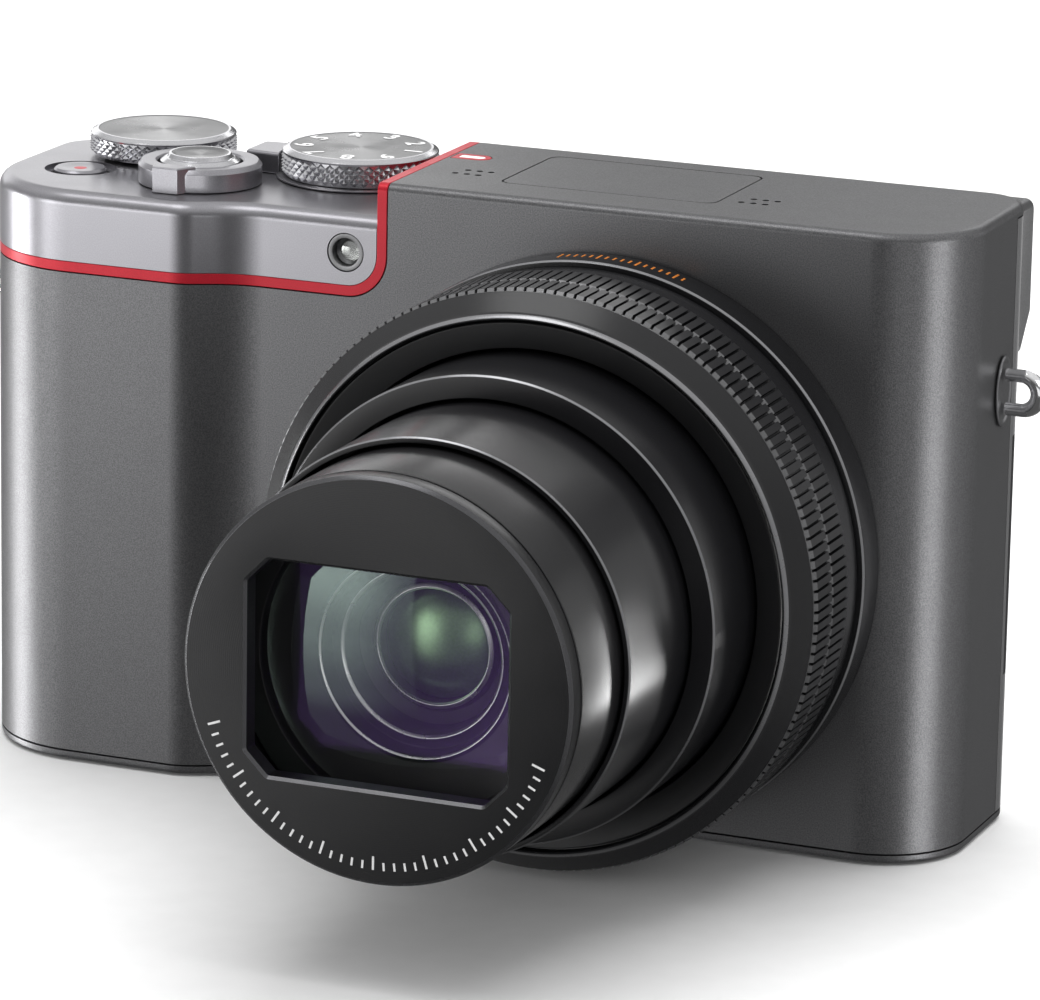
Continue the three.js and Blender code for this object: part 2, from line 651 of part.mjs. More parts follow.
// covers and trim
add(body, 'front_cover', frontCover(), 'darkMetal');
add(body, 'rear_cover', rearCover(), 'darkMetal');
add(body, 'top_cover', topCover(), 'silverMetal');
add(body, 'trim_band', trimBand(), 'red');
add(body, 'base_cover', baseCover(), 'darkMetal');
add(body, 'index_mark', upright(indexShape(-SEAM / 2), DECK_Z - 0.4, DECK_Z), 'red');
add(body, 'port_door', portDoor(), 'plastic');
add(body, 'battery_door', batteryDoor(), 'darkMetal');
add(body, 'battery_latch', batteryLatch(), 'plastic');
add(body, 'tripod_socket', tripodSocket(), 'brass', [...TRIPOD_AT, 0]);
SCREWS_AT.forEach(([x, depth], i) => {
  add(body, `base_screw_${i + 1}`, screw(), 'frame', [x, depth, 0]);
});
add(body, 'thumb_rest', deep(roundedRect(...THUMB_REST_X, ...THUMB_REST_Z, 2),
  BODY_DEPTH + SEAM, BODY_DEPTH + 1.3, 5), 'rubber');

// electronics and structure
add(body, 'chassis', chassis(), 'frame');
add(body, 'main_board', box([-28, 52], [17.3, 18.5], [5, 48]), 'board');
add(lens, 'sensor_module', sensorModule(), 'plastic');
add(body, 'display_module', box([-15, 50], [20.8, 23.9], [5.6, 47.6]), 'frame');
add(body, 'display_glass', deep(roundedRect(...DISPLAY_X, ...DISPLAY_Z, 1.5),
  BODY_DEPTH - 1.2, BODY_DEPTH - 0.1, 5), 'glass');
add(body, 'battery', box([-46.5, -13.5], [2.0, 14.0], [1.5, 45.0]), 'plastic');
add(body, 'memory_card', box([-44, -20], [14.6, 16.7], [1.5, 33.5]), 'plastic');
add(body, 'flash_capacitor', discUp(3.4, -13.5, 13.5), 'matteBlack', [-30, 10, 49.6],
  [0, Math.PI / 2, 0]);
add(body, 'zoom_motor', discBack(3.9, 1.9, 9.0), 'frame', [MOTOR_AT[0], 0, MOTOR_AT[1]]);
MICROPHONES.forEach(([x, depth], i) => {
  add(body, `microphone_${i + 1}`, discUp(1.9, DECK_Z - 2.9, DECK_Z - WALL - GAP, 16), 'brass',
    [x, depth, 0]);
});
add(body, 'viewfinder_module', box([38, 52], [6.5, 26.6], [54.5, 62.4]), 'plastic');

// eyepiece, lamp and strap lugs
const eyepieceOuter = deep(eyepieceShape(0, 2), HUMP_DEPTH + SEAM, EYEPIECE_DEPTH);
const eyepieceInner = deep(eyepieceShape(EYEPIECE_RIM, 1), HUMP_DEPTH - 1, EYEPIECE_DEPTH + 1);
add(body, 'eyepiece_frame', eyepieceOuter.subtract(eyepieceInner), 'rubber');
add(body, 'eyepiece_glass', deep(eyepieceShape(EYEPIECE_RIM + GAP, 1), HUMP_DEPTH - 1.3,
  HUMP_DEPTH + 0.1), 'glass');
add(body, 'focus_lamp', discBack(AF_LAMP_R, 0.1, 1.6), 'glass', [AF_LAMP_AT[0], 0, AF_LAMP_AT[1]]);
for (const [side, name] of [[1, 'right'], [-1, 'left']]) {
  const turn = side > 0 ? [0, 0, 0] : [0, 0, Math.PI];
  const plateX = side * (HALF + SEAM + 0.225);
  add(body, `strap_plate_${name}`, strapPlate(), 'frame', [plateX, LUG_DEPTH, LUG_Z]);
  add(body, `strap_lug_${name}`, strapLug(), 'chrome', [side * (HALF + 0.85), LUG_DEPTH, LUG_Z], turn);
}

// lens
add(lens, 'lens_base_ring', lensBaseRing(), 'black');
add(lens, 'lens_fixed_barrel', fixedBarrel(), 'black');
add(lens, 'control_ring', controlRing(), 'black');
add(lens, 'rear_barrel', rearBarrel(), 'black');
add(lens, 'middle_barrel', middleBarrel(), 'black');
add(lens, 'front_barrel', frontBarrel(), 'black');
add(lens, 'front_ring', frontRing(), 'black');
add(lens, 'front_glass', glassDome(17.9, -54.9, 2.6, -49.8), 'glass');
add(lens, 'lens_cell', lensCell(), 'matteBlack');
add(lens, 'inner_glass', glassDome(6.1, -44.4, 1.2, -39.0), 'glass');
add(body, 'zoom_gear', zoomGear(), 'brass', [MOTOR_AT[0], 0, MOTOR_AT[1]]);

// controls on the decks
add(body, 'record_button', recordButton(), 'silverMetal', [...RECORD_AT, SILVER_Z]);
add(body, 'zoom_lever', zoomLever(), 'silverMetal', [...ZOOM_AT, DIAL_Z]);
add(body, 'shutter_button', shutterButton(), 'spunMetal', [...ZOOM_AT, DIAL_Z]);
add(body, 'rear_dial', dial(REAR_DIAL_R, 2.7, 0.35, 4), 'spunMetal', [...REAR_DIAL_AT, DIAL_Z]);
add(body, 'power_lever', powerLever(), 'silverMetal', [...MODE_DIAL_AT, SILVER_Z + 0.15]);
add(body, 'mode_dial', dial(MODE_DIAL_R, 2.9, 0.4, 4.5), 'spunMetal', [...MODE_DIAL_AT, SILVER_Z + 0.5]);
add(body, 'flash_head', flashHead(), 'darkMetal');
add(body, 'flash_window', flashWindow(), 'glass');

// controls on the back
for (const [name, [x, z]] of Object.entries(REAR_BUTTONS)) {
  add(body, name, rearButton(), 'plastic', [x, BODY_DEPTH, z]);
}
add(body, 'control_pad', controlPad(), 'plastic', [PAD_AT[0], BODY_DEPTH, PAD_AT[1]]);
add(body, 'set_button', setButton(), 'plastic', [PAD_AT[0], BODY_DEPTH, PAD_AT[1]]);
add(body, 'flash_switch', box(FLASH_SWITCH_X, [BODY_DEPTH - 1.2, BODY_DEPTH + 0.6], FLASH_SWITCH_Z),
  'plastic');
add(body, 'diopter_wheel', discUp(2.2, ...DIOPTER_Z, 24), 'plastic', [...DIOPTER_AT, 0]);

export default camera;
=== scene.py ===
import bmesh
import bpy
import json
import math
from mathutils import Matrix, Vector


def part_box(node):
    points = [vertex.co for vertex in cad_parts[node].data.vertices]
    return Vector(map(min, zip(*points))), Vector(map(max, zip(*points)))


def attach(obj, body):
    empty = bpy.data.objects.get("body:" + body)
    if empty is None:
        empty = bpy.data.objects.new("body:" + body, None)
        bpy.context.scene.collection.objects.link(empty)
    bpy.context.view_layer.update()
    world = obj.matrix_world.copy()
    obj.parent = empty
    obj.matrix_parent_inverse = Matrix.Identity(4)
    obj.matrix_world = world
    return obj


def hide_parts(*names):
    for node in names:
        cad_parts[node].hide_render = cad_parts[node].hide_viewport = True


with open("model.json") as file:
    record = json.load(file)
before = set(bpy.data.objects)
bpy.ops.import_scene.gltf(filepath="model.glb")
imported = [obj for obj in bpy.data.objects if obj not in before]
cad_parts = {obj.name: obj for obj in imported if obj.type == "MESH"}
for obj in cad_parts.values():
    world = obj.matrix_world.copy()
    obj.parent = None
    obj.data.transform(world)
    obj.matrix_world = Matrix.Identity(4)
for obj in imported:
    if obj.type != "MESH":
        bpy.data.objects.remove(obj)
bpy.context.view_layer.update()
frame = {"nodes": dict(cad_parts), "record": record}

# Shapes are built in millimetres and stored in metres. The frame is the CAD's: +Z up, the lens
# looks along -Y, +X is to the right for someone facing the lens. Depths run back from FRONT.
MM = 0.001
X, Y, Z = range(3)
RECORD = frame["record"]
BODY_OF = {node: body for body, nodes in RECORD["behaviour"]["bodies"].items() for node in nodes}
SLOT_OF = {part["node"]: part["material_slot"] for part in RECORD["subparts"]}


def box_mm(node):
    low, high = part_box(node)
    return low / MM, high / MM


def middle(node):
    low, high = box_mm(node)
    return (low + high) / 2


def top_of(node):
    return box_mm(node)[1].z


def span(node, axis, grow=0.0):
    """The stretch that a CAD node takes up along an axis, grown at both ends."""
    low, high = box_mm(node)
    return low[axis] - grow, high[axis] + grow


def half_width(node):
    low, high = span(node, X)
    return (high - low) / 2


# ---------------------------------------------------------------- sizes, in millimetres

COVER_LOW, COVER_HIGH = box_mm("front_cover")
GRIP_PROUD = 2.75
FRONT = COVER_LOW.y + GRIP_PROUD
BACK = box_mm("display_glass")[1].y + 0.1
DECK = COVER_HIGH.z
SILVER = top_of("top_cover")
HALF = COVER_HIGH.x
WALL = 1.2
SEAM = 0.12
HAIRLINE = 0.05
ACROSS = (-90, 90)  # further out than the camera reaches
COVER_BOTTOM = COVER_LOW.z
COVER_SEAM = box_mm("rear_cover")[0].y - 0.2
GRIP_CREST_X = -29.1
GRIP_FOOT_X = -23.8

BAND_LOW, BAND_HIGH = box_mm("trim_band")
BAND_WIDTH = 1.1
BAND_X = BAND_HIGH.x - BAND_WIDTH
BAND_TOP = BAND_LOW.z + BAND_WIDTH
BAND_CORNER = 3.4
BAND_STEP = SILVER - 1.0

LENS = middle("control_ring")
DECK_EDGE_R = 0.9
SILVER_EDGE_R = 1.5
REAR_BUTTONS = ("playback_button", "quick_menu_button", "display_button", "focus_lock_button")

# Plan of the camera, anticlockwise from above: x, y, corner radius.
PLAN = [
    (-HALF, FRONT - GRIP_PROUD, 12.8),
    (GRIP_CREST_X, FRONT - GRIP_PROUD, 6.0),
    (GRIP_FOOT_X, FRONT, 12.0),
    (HALF, FRONT, 9.35),
    (HALF, BACK, 5.0),
    (-HALF, BACK, 5.0),
]


# ---------------------------------------------------------------- camera

def place_camera():
    """A long lens that looks down a little, from the viewer's right."""
    azimuth, elevation, roll = (math.radians(a) for a in (22.253, 14.595, 1.022))
    target = Vector((7.408, FRONT, 34.883)) * MM
    distance = 0.6337
    back = Vector((math.sin(azimuth) * math.cos(elevation),
                   -math.cos(azimuth) * math.cos(elevation), math.sin(elevation)))
    level = Vector((math.cos(azimuth), math.sin(azimuth), 0.0))
    rise = back.cross(level)
    right = math.cos(roll) * level + math.sin(roll) * rise
    up = math.cos(roll) * rise - math.sin(roll) * level
    data = bpy.data.cameras.new("camera")
    data.sensor_width = 36.0
    data.lens = 211.45
    data.shift_x = 0.0101
    data.shift_y = -0.0078
    data.clip_start = 0.05
    data.clip_end = 50.0
    camera = bpy.data.objects.new("camera", data)
    bpy.context.scene.collection.objects.link(camera)
    matrix = Matrix((right, up, back)).transposed().to_4x4()
    matrix.translation = target + back * distance
    camera.matrix_world = matrix
    bpy.context.scene.camera = camera


place_camera()


# ---------------------------------------------------------------- materials

def add_node(tree, kind, **inputs):
    made = tree.nodes.new(kind)
    for name, value in inputs.items():
        made.inputs[name.replace("_", " ")].default_value = value
    return made


def remapped(tree, source, low, high, start=0.35, stop=0.65, curve="LINEAR"):
    """Spreads a value from start..stop over low..high; a noise's own spread is the default."""
    ranged = tree.nodes.new("ShaderNodeMapRange")
    ranged.interpolation_type = curve
    for index, value in enumerate((start, stop, low, high), start=1):
        ranged.inputs[index].default_value = value
    tree.links.new(source, ranged.inputs[0])
    return ranged.outputs[0]


def finish(name, color, metallic=0.0, roughness=0.5, grain=0.12, bump=0.1, mottle=0.06, spread=0.04,
           spun=0.0, groove=0.0, **sockets):
    """A material with grain (mm) in its colour, gloss and relief.
    spun is how far it is brushed round its own Z axis, and groove the pitch (mm) of turned rings."""
    material = bpy.data.materials.new(name)
    material.use_nodes = True
    tree = material.node_tree
    shader = tree.nodes["Principled BSDF"]
    shader.inputs["Metallic"].default_value = metallic
    for socket, value in sockets.items():
        shader.inputs[socket.replace("_", " ")].default_value = value
    place = tree.nodes.new("ShaderNodeTexCoord").outputs["Object"]
    fine = add_node(tree, "ShaderNodeTexNoise", Scale=1 / (grain * MM), Detail=2.0)
    broad = add_node(tree, "ShaderNodeTexNoise", Scale=1 / (40 * grain * MM), Detail=3.0)
    for noise in (fine, broad):
        tree.links.new(place, noise.inputs["Vector"])

    tone = tree.nodes.new("ShaderNodeMix")
    tone.data_type = "RGBA"
    tone.inputs[6].default_value = [*(c * (1 - mottle) for c in color), 1]
    tone.inputs[7].default_value = [*(min(1.0, c * (1 + mottle)) for c in color), 1]
    tree.links.new(remapped(tree, fine.outputs["Fac"], 0, 1), tone.inputs[0])
    tree.links.new(tone.outputs[2], shader.inputs["Base Color"])
    gloss = remapped(tree, broad.outputs["Fac"], roughness - spread, roughness + spread)
    tree.links.new(gloss, shader.inputs["Roughness"])

    relief = add_node(tree, "ShaderNodeBump", Strength=bump, Distance=0.3 * grain * MM)
    tree.links.new(fine.outputs["Fac"], relief.inputs["Height"])
    if groove:
        rings = add_node(tree, "ShaderNodeTexWave", Scale=2 * math.pi / (20 * groove * MM))
        rings.wave_type = "RINGS"
        rings.rings_direction = "Z"
        tree.links.new(place, rings.inputs["Vector"])
        turned_relief = add_node(tree, "ShaderNodeBump", Strength=0.15, Distance=0.1 * groove * MM)
        tree.links.new(rings.outputs["Fac"], turned_relief.inputs["Height"])
        tree.links.new(relief.outputs["Normal"], turned_relief.inputs["Normal"])
        relief = turned_relief
    tree.links.new(relief.outputs["Normal"], shader.inputs["Normal"])
    if spun:
        shader.inputs["Anisotropic"].default_value = spun
        tangent = tree.nodes.new("ShaderNodeTangent")
        tangent.direction_type = "RADIAL"
        tangent.axis = "Z"
        tree.links.new(tangent.outputs["Tangent"], shader.inputs["Tangent"])
    return material


def see_through(name, color, alpha, **values):
    """A coated glass surface that reflects its coating's colour and lets the rest through."""
    material = finish(name, color, **{"metallic": 1.0, "roughness": 0.04, "spread": 0.015,
                                      "bump": 0.0, "grain": 0.3, **values})
    material.node_tree.nodes["Principled BSDF"].inputs["Alpha"].default_value = alpha
    return material


PAINT = {
    "dark_metal": finish("dark_metal", (0.155, 0.155, 0.160), 0.85, 0.36, grain=0.13, bump=0.40,
                         mottle=0.24, spread=0.012),
    "silver_metal": finish("silver_metal", (0.335, 0.33, 0.352), 0.92, 0.30, grain=0.11, bump=0.10,
                           mottle=0.08, spread=0.012),
    "spun_metal": finish("spun_metal", (0.27, 0.27, 0.275), 1.0, 0.30, bump=0.05, mottle=0.03, spun=0.8,
                         groove=0.16),
    "red_trim": finish("red_trim", (0.47, 0.008, 0.022), 0.35, 0.34, grain=0.10, bump=0.12, mottle=0.08),
    "black_metal": finish("black_metal", (0.008, 0.008, 0.009), 0.0, 0.24, grain=0.10, bump=0.08, mottle=0.15,
                          spread=0.01),
    "lens_glass": see_through("lens_glass", (0.52, 0.68, 0.60), 0.12, roughness=0.05),
    "flash_glass": finish("flash_glass", (0.60, 0.60, 0.58), 0.0, 0.12, grain=0.4, bump=0.5, mottle=0.10,
                          Coat_Weight=0.6),
    "display": finish("display", (0.006, 0.006, 0.008), 0.0, 0.06, grain=0.6, bump=0.0, mottle=0.2,
                      spread=0.02, Coat_Weight=0.5),
    "matte_black": finish("matte_black", (0.008, 0.008, 0.009), 0.0, 0.52, grain=0.10, bump=0.4, mottle=0.2),
    "rubber": finish("rubber", (0.014, 0.014, 0.015), 0.0, 0.62, grain=0.25, bump=0.7, mottle=0.25),
    "chrome": finish("chrome", (0.86, 0.86, 0.87), 1.0, 0.12, grain=0.5, bump=0.03, mottle=0.03, spread=0.03),
    "satin_steel": finish("satin_steel", (0.33, 0.33, 0.34), 1.0, 0.33, grain=0.10, bump=0.15, mottle=0.08),
    "black_plastic": finish("black_plastic", (0.017, 0.017, 0.019), 0.0, 0.44, grain=0.14, bump=0.35,
                            mottle=0.2),
    "circuit_board": finish("circuit_board", (0.008, 0.10, 0.045), 0.0, 0.38, grain=0.8, bump=0.3,
                            mottle=0.35),
    "brass": finish("brass", (0.56, 0.40, 0.15), 1.0, 0.28, grain=0.15, bump=0.1, mottle=0.08),
}
BRIGHT_EDGE = finish("bright_edge", (0.62, 0.62, 0.64), 1.0, 0.22, bump=0.05, mottle=0.05)
# Lighter metal for thin edge lines on the black rings and barrels: a painted highlight.
HIGHLIGHT_RIM = finish("rim", (0.30, 0.30, 0.31), 1.0, 0.26, bump=0.05, mottle=0.05)
# A metal a little lighter than the black disc, for its edges: a faint painted highlight.
FAINT_HIGHLIGHT_EDGE = finish("dark_edge", (0.10, 0.10, 0.105), 0.9, 0.24, bump=0.05, mottle=0.08)
KNURL = finish("knurled_metal", (0.56, 0.56, 0.58), 1.0, 0.24, bump=0.08, mottle=0.05)
SPUN_BLACK = finish("spun_black", (0.011, 0.011, 0.012), 0.35, 0.33, bump=0.08, mottle=0.12, spun=0.7,
                    groove=0.22, Specular_IOR_Level=0.75)
SATIN_BARREL = finish("satin_barrel", (0.016, 0.016, 0.017), 0.2, 0.25, bump=0.06, mottle=0.10, spread=0.01)
# Near-white metal for thin rings on the lens cell's crests: painted glints.
PAINTED_GLINT = finish("cell_edge", (0.86, 0.88, 0.87), 1.0, 0.28, bump=0.05, mottle=0.05)
RING_GREY = finish("ring_grey", (0.22, 0.22, 0.225), 0.9, 0.32, bump=0.15, mottle=0.10, spread=0.01)
PAD_BLACK = finish("pad_black", (0.013, 0.013, 0.014), 0.0, 0.34, bump=0.20, mottle=0.12, spread=0.01)
WHITE_FILL = finish("white_fill", (0.85, 0.85, 0.85), 0.0, 0.5, bump=0.05, mottle=0.03)
PALE_PRINT = finish("pale_print", (0.62, 0.62, 0.62), 0.0, 0.5, bump=0.05, mottle=0.04)
ORANGE_PRINT = finish("orange_print", (0.62, 0.20, 0.03), 0.0, 0.5, bump=0.05, mottle=0.05)
# Near-black for the floors of gaps and recesses where shade falls: painted shade. Cutters carry it too,
# unseen.
PAINTED_SHADE_BLACK = finish("dark_hole", (0.004, 0.004, 0.004), 0.0, 0.8, bump=0.1, mottle=0.1)
VIOLET_COAT = see_through("violet_coat", (0.36, 0.16, 0.70), 0.12, roughness=0.07)
GREEN_COAT = see_through("green_coat", (0.46, 0.72, 0.42), 0.85, roughness=0.34)
DEEP_GLASS = finish("deep_glass", (0.004, 0.016, 0.010), 0.0, 0.05, bump=0.0, mottle=0.2, spread=0.02,
                    Specular_IOR_Level=0.9, Specular_Tint=(0.55, 1.0, 0.6, 1.0))


# ---------------------------------------------------------------- meshes

def make(name, points, faces, material, sharp=35.0):
    """An object from points in millimetres, closed and clean, shaded smooth up to sharp degrees."""
    mesh = bpy.data.meshes.new(name)
    mesh.from_pydata([Vector(p) * MM for p in points], [], faces)
    made = bpy.data.objects.new(name, mesh)
    bpy.context.scene.collection.objects.link(made)
    mesh.materials.append(material)
    tidy(made, sharp)
    return made


def tidy(made, sharp=35.0):
    edit = bmesh.new()
    edit.from_mesh(made.data)
    bmesh.ops.remove_doubles(edit, verts=edit.verts, dist=1e-7)
    bmesh.ops.dissolve_degenerate(edit, edges=edit.edges, dist=1e-7)
    bmesh.ops.recalc_face_normals(edit, faces=edit.faces)
    limit = math.radians(sharp)
    for face in edit.faces:
        face.smooth = True
    for edge in edit.edges:
        edge.smooth = len(edge.link_faces) == 2 and edge.calc_face_angle(0.0) < limit
    edit.to_mesh(made.data)
    edit.free()


def rounded(corners, inset=0.0, closed=True, steps=8):
    """Points of an anticlockwise outline whose corners (u, v, radius) are rounded, moved in by inset."""
    points = []
    count = len(corners)
    for i, (u, v, *rest) in enumerate(corners):
        radius = rest[0] if rest else 0.0
        here = Vector((u, v))
        if not closed and i in (0, count - 1):
            points.append(here)
            continue
        before = (here - Vector(corners[i - 1][:2])).normalized()
        after = (Vector(corners[(i + 1) % count][:2]) - here).normalized()
        normal_before = Vector((-before.y, before.x))
        normal_after = Vector((-after.y, after.x))
        turn = math.atan2(before.x * after.y - before.y * after.x, before.dot(after))
        corner = here + (normal_before + normal_after) * inset / (1 + normal_before.dot(normal_after))
        if radius == 0.0:
            points.append(corner)
            continue
        side = math.copysign(1.0, turn)
        bend = max(radius - side * inset, 0.01)
        start = corner - before * bend * math.tan(abs(turn) / 2)
        centre = start + normal_before * bend * side
        for k in range(steps + 1):
            points.append(centre + Matrix.Rotation(turn * k / steps, 2) @ (start - centre))
    return points


def bridge(low, high):
    """Faces between two rings of point numbers; either ring may be a single point."""
    count = max(len(low), len(high))
    for k in range(count):
        n = (k + 1) % count
        corner = [low[k % len(low)], low[n % len(low)], high[n % len(high)], high[k % len(high)]]
        corner = list(dict.fromkeys(corner))
        if len(corner) > 2:
            yield corner


def skin(rings, closed=False):
    """Points and faces of a solid through rings of points, with flat ends unless it closes on itself."""
    points = []
    loops = []
    for ring in rings:
        loops.append(range(len(points), len(points) + len(ring)))
        points.extend(ring)
    faces = []
    for low, high in zip(loops, loops[1:] + (loops[:1] if closed else [])):
        faces.extend(bridge(low, high))
    if not closed:
        faces += [list(end) for end in (loops[0][::-1], loops[-1]) if len(end) > 2]
    return points, faces


def merged(solids):
    """Points and faces of several solids as one."""
    points = []
    faces = []
    for more_points, more_faces in solids:
        faces += [[len(points) + i for i in face] for face in more_faces]
        points += more_points
    return points, faces


def polar(radius, angle, height):
    return (radius * math.cos(angle), radius * math.sin(angle), height)


LIFT = {
    "X": lambda u, v, h: (h, u, v),
    "Y": lambda u, v, h: (u, h, v),
    "Z": lambda u, v, h: (u, v, h),
}


def loft(name, corners, levels, axis, material, steps=8):
    """A solid through copies of one outline, one for each (inset, height) along axis."""
    rings = [[LIFT[axis](p.x, p.y, height) for p in rounded(corners, inset, steps=steps)]
             for inset, height in levels]
    return make(name, *skin(rings), material)


def prism(name, corners, ends, axis="Z", material=None, rounding=(0.0, 0.0), inset=0.0, steps=8):
    """A solid run along axis between ends, the rims at its two ends rounded."""
    quarter = 6
    levels = []
    for end, radius, way in ((ends[0], rounding[0], 1), (ends[1], rounding[1], -1)):
        turns = [k * math.pi / 2 / quarter for k in range(quarter + 1)] if radius else [math.pi / 2]
        found = [(inset + radius * (1 - math.sin(t)), end + way * radius * (1 - math.cos(t))) for t in turns]
        levels.extend(found[::way])
    return loft(name, corners, levels, axis, material or PAINTED_SHADE_BLACK, steps)


def rect(u0, u1, v0, v1, radius=0.0):
    return [(u0, v0, radius), (u1, v0, radius), (u1, v1, radius), (u0, v1, radius)]


def block(x, y, z):
    return prism("cutter", rect(*x, *y), z)


def turned(name, profile, material, segments=96, softness=0.12):
    """A piece turned about its own Z from (radius, height) points, each corner eased by softness.
    A profile that starts on the axis also ends there; any other closes into a ring."""
    closed = profile[0][0] > 0
    eased = [(p[0], p[1], p[2] if len(p) > 2 else softness) for p in profile]
    rings = [[polar(radius, 2 * math.pi * k / segments, height) for k in range(segments)] if radius > 1e-6
             else [(0.0, 0.0, height)] for radius, height in rounded(eased, closed=closed, steps=4)]
    return make(name, *skin(rings, closed), material, 50)


def drum(radius, ends, at, axis="Z", segments=48):
    """A plain cutter cylinder; at is its axis in the plane across it."""
    cutter = turned("cutter", [(0, ends[0]), (radius, ends[0], 0), (radius, ends[1], 0), (0, ends[1])],
                    PAINTED_SHADE_BLACK, segments=segments)
    return face_back(cutter, (at[0], 0.0, at[1])) if axis == "Y" else stand(cutter, *at)


def stand(made, x, y, height=0.0):
    made.location = Vector((x, y, height)) * MM
    return made


def face_back(made, place):
    """Stands a turned piece's own Z along +Y, so that its heights are y."""
    made.rotation_euler.x = -math.pi / 2
    return stand(made, *place)


def carve(made, *steps, bevel=0.0):
    """Cuts each step out of a piece, then eases the edges they leave.
    A step is a cutter, or a pair of another boolean operation and its piece."""
    steps = [step if isinstance(step, tuple) else ("DIFFERENCE", step) for step in steps]
    for operation, cutter in steps:
        cut = made.modifiers.new("carve", "BOOLEAN")
        cut.operation = operation
        cut.solver = "MANIFOLD"
        cut.object = cutter
    bake(made)
    for _, cutter in steps:
        bpy.data.objects.remove(cutter)
    tidy(made)
    if bevel:
        ease(made, bevel)
    return made


def bake(made):
    graph = bpy.context.evaluated_depsgraph_get()
    mesh = bpy.data.meshes.new_from_object(made.evaluated_get(graph))
    made.modifiers.clear()
    made.data = mesh


def ease(made, width):
    """Rounds every edge that turns by more than 40 degrees."""
    edge = made.modifiers.new("edge", "BEVEL")
    edge.width = width * MM
    edge.segments = 2
    edge.limit_method = "ANGLE"
    edge.angle_limit = math.radians(40)
    edge.use_clamp_overlap = True
    edge.miter_outer = "MITER_ARC"
    made.modifiers.new("even", "WEIGHTED_NORMAL").keep_sharp = True


def stand_in(made):
    """A piece called NODE_detail takes that CAD node's place and body."""
    node = made.name.removesuffix("_detail")
    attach(made, BODY_OF[node])
    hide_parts(node)


def extra(made, node, slot=None):
    """A further piece that goes with a CAD node's body."""
    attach(made, BODY_OF[node])
    slot or SLOT_OF[node]


def repaint(made, material, wanted):
    """Gives a material to the faces for which wanted(centre in mm, normal) holds, in the piece's own axes."""
    made.data.materials.append(material)
    index = len(made.data.materials) - 1
    for face in made.data.polygons:
        if wanted(face.center / MM, face.normal):
            face.material_index = index


# ---------------------------------------------------------------- covers

def silver_region(margin):
    """Front elevation of what lies above the band and left of where it climbs, grown by margin."""
    right = BAND_X + margin
    return [(-HALF - 9, BAND_TOP - margin), (right, BAND_TOP - margin, BAND_CORNER + margin),
            (right, DECK + 9), (-HALF - 9, DECK + 9)]


def region_block(margin):
    return prism("cutter", silver_region(margin), (FRONT - 30, BACK + 30), "Y", steps=16)


def cavity(top):
    return prism("cutter", PLAN, (-5, top), inset=WALL, steps=12)


def body_block(name, ends, rounding, slot, inset=0.0):
    return prism(name, PLAN, ends, "Z", PAINT[slot], rounding, inset=inset, steps=20)


def microphone_holes(node):
    """Two rows of three small holes over a microphone."""
    at = middle(node)
    pitch = 1.3
    for row in (0, 1):
        for column in (-1, 0, 1):
            x = at.x + (column + row / 2 - 0.25) * pitch
            yield drum(0.36, (DECK - 4, DECK + 2), (x, at.y + (row - 0.5) * pitch * 1.5), segments=16)


def index_outline(margin):
    left, right = span("index_mark", X, margin)
    front, back = span("index_mark", Y, margin)
    bend = (back - front) / 2 - 0.02
    return [(left, front), (right, front, bend), (right, back, bend), (left, back)]


def flash_outline(margin):
    return rect(*span("flash_head", X, margin), *span("flash_head", Y, margin), 1.3)


def front_cover():
    cover = body_block("front_cover_detail", (COVER_BOTTOM, DECK), (0, DECK_EDGE_R), "dark_metal")
    lid = body_block("cutter", (DECK - WALL, DECK), (0, DECK_EDGE_R), "dark_metal")
    carve(cover,
          cavity(DECK - WALL),
          ("INTERSECT", block(ACROSS, (FRONT - 9, COVER_SEAM), (-5, DECK + 5))),
          ("UNION", lid),
          region_block(BAND_WIDTH + SEAM),
          drum(26.2, (FRONT - 9, FRONT + 9), (LENS.x, LENS.z), "Y", 128),
          prism("cutter", flash_outline(0.14), (DECK - 6, DECK + 6)),
          prism("cutter", index_outline(SEAM), (DECK - 0.5, DECK + 3), steps=12),
          *microphone_holes("microphone_1"), *microphone_holes("microphone_2"),
          bevel=0.07)
    stand_in(cover)


def top_cover():
    cover = body_block("top_cover_detail", (BAND_TOP - 8, SILVER), (0, SILVER_EDGE_R), "silver_metal")
    record = middle("record_button")
    lamp = middle("focus_lamp")
    carve(cover,
          cavity(SILVER - WALL),
          ("INTERSECT", region_block(-HAIRLINE)),
          drum(3.2, (SILVER - 9, SILVER + 9), record.xy, segments=64),
          drum(3.85, (SILVER - 0.55, SILVER + 9), record.xy, segments=64),
          drum(2.08, (FRONT - 9, FRONT + 9), (lamp.x, lamp.z), "Y"),
          bevel=0.08)
    stand_in(cover)
    # The recess round the record button is lined near-black: painted shade.
    well = turned("record_recess", [(2.95, -1.6), (3.83, -1.6), (3.83, -0.62), (2.95, -0.62)], PAINTED_SHADE_BLACK)
    extra(stand(well, record.x, record.y, SILVER), "top_cover")


def trim_band():
    band = body_block("trim_band_detail", (BAND_LOW.z - 6, DECK), (0, DECK_EDGE_R), "red_trim")
    carve(band,
          cavity(BAND_STEP),
          ("INTERSECT", region_block(BAND_WIDTH)),
          region_block(0.0),
          block(ACROSS, (COVER_SEAM, BACK + 9), (0, BAND_STEP)),
          bevel=0.06)
    stand_in(band)
    ring = prism("index_mark_detail", index_outline(0.05), (box_mm("index_mark")[0].z, DECK + 0.02), "Z",
                 PAINT["red_trim"], (0, 0.08), steps=12)
    carve(ring, prism("cutter", index_outline(-0.55), (DECK - 0.2, DECK + 3), steps=12), bevel=0.04)
    stand_in(ring)
    fill = prism("index_fill", index_outline(-0.58), (DECK - 0.19, DECK), "Z", WHITE_FILL, (0, 0.05),
                 steps=12)
    extra(fill, "index_mark")


def eyepiece_outline(margin, radius):
    return rect(*span("eyepiece_frame", X, margin), *span("eyepiece_frame", Z, margin), radius)


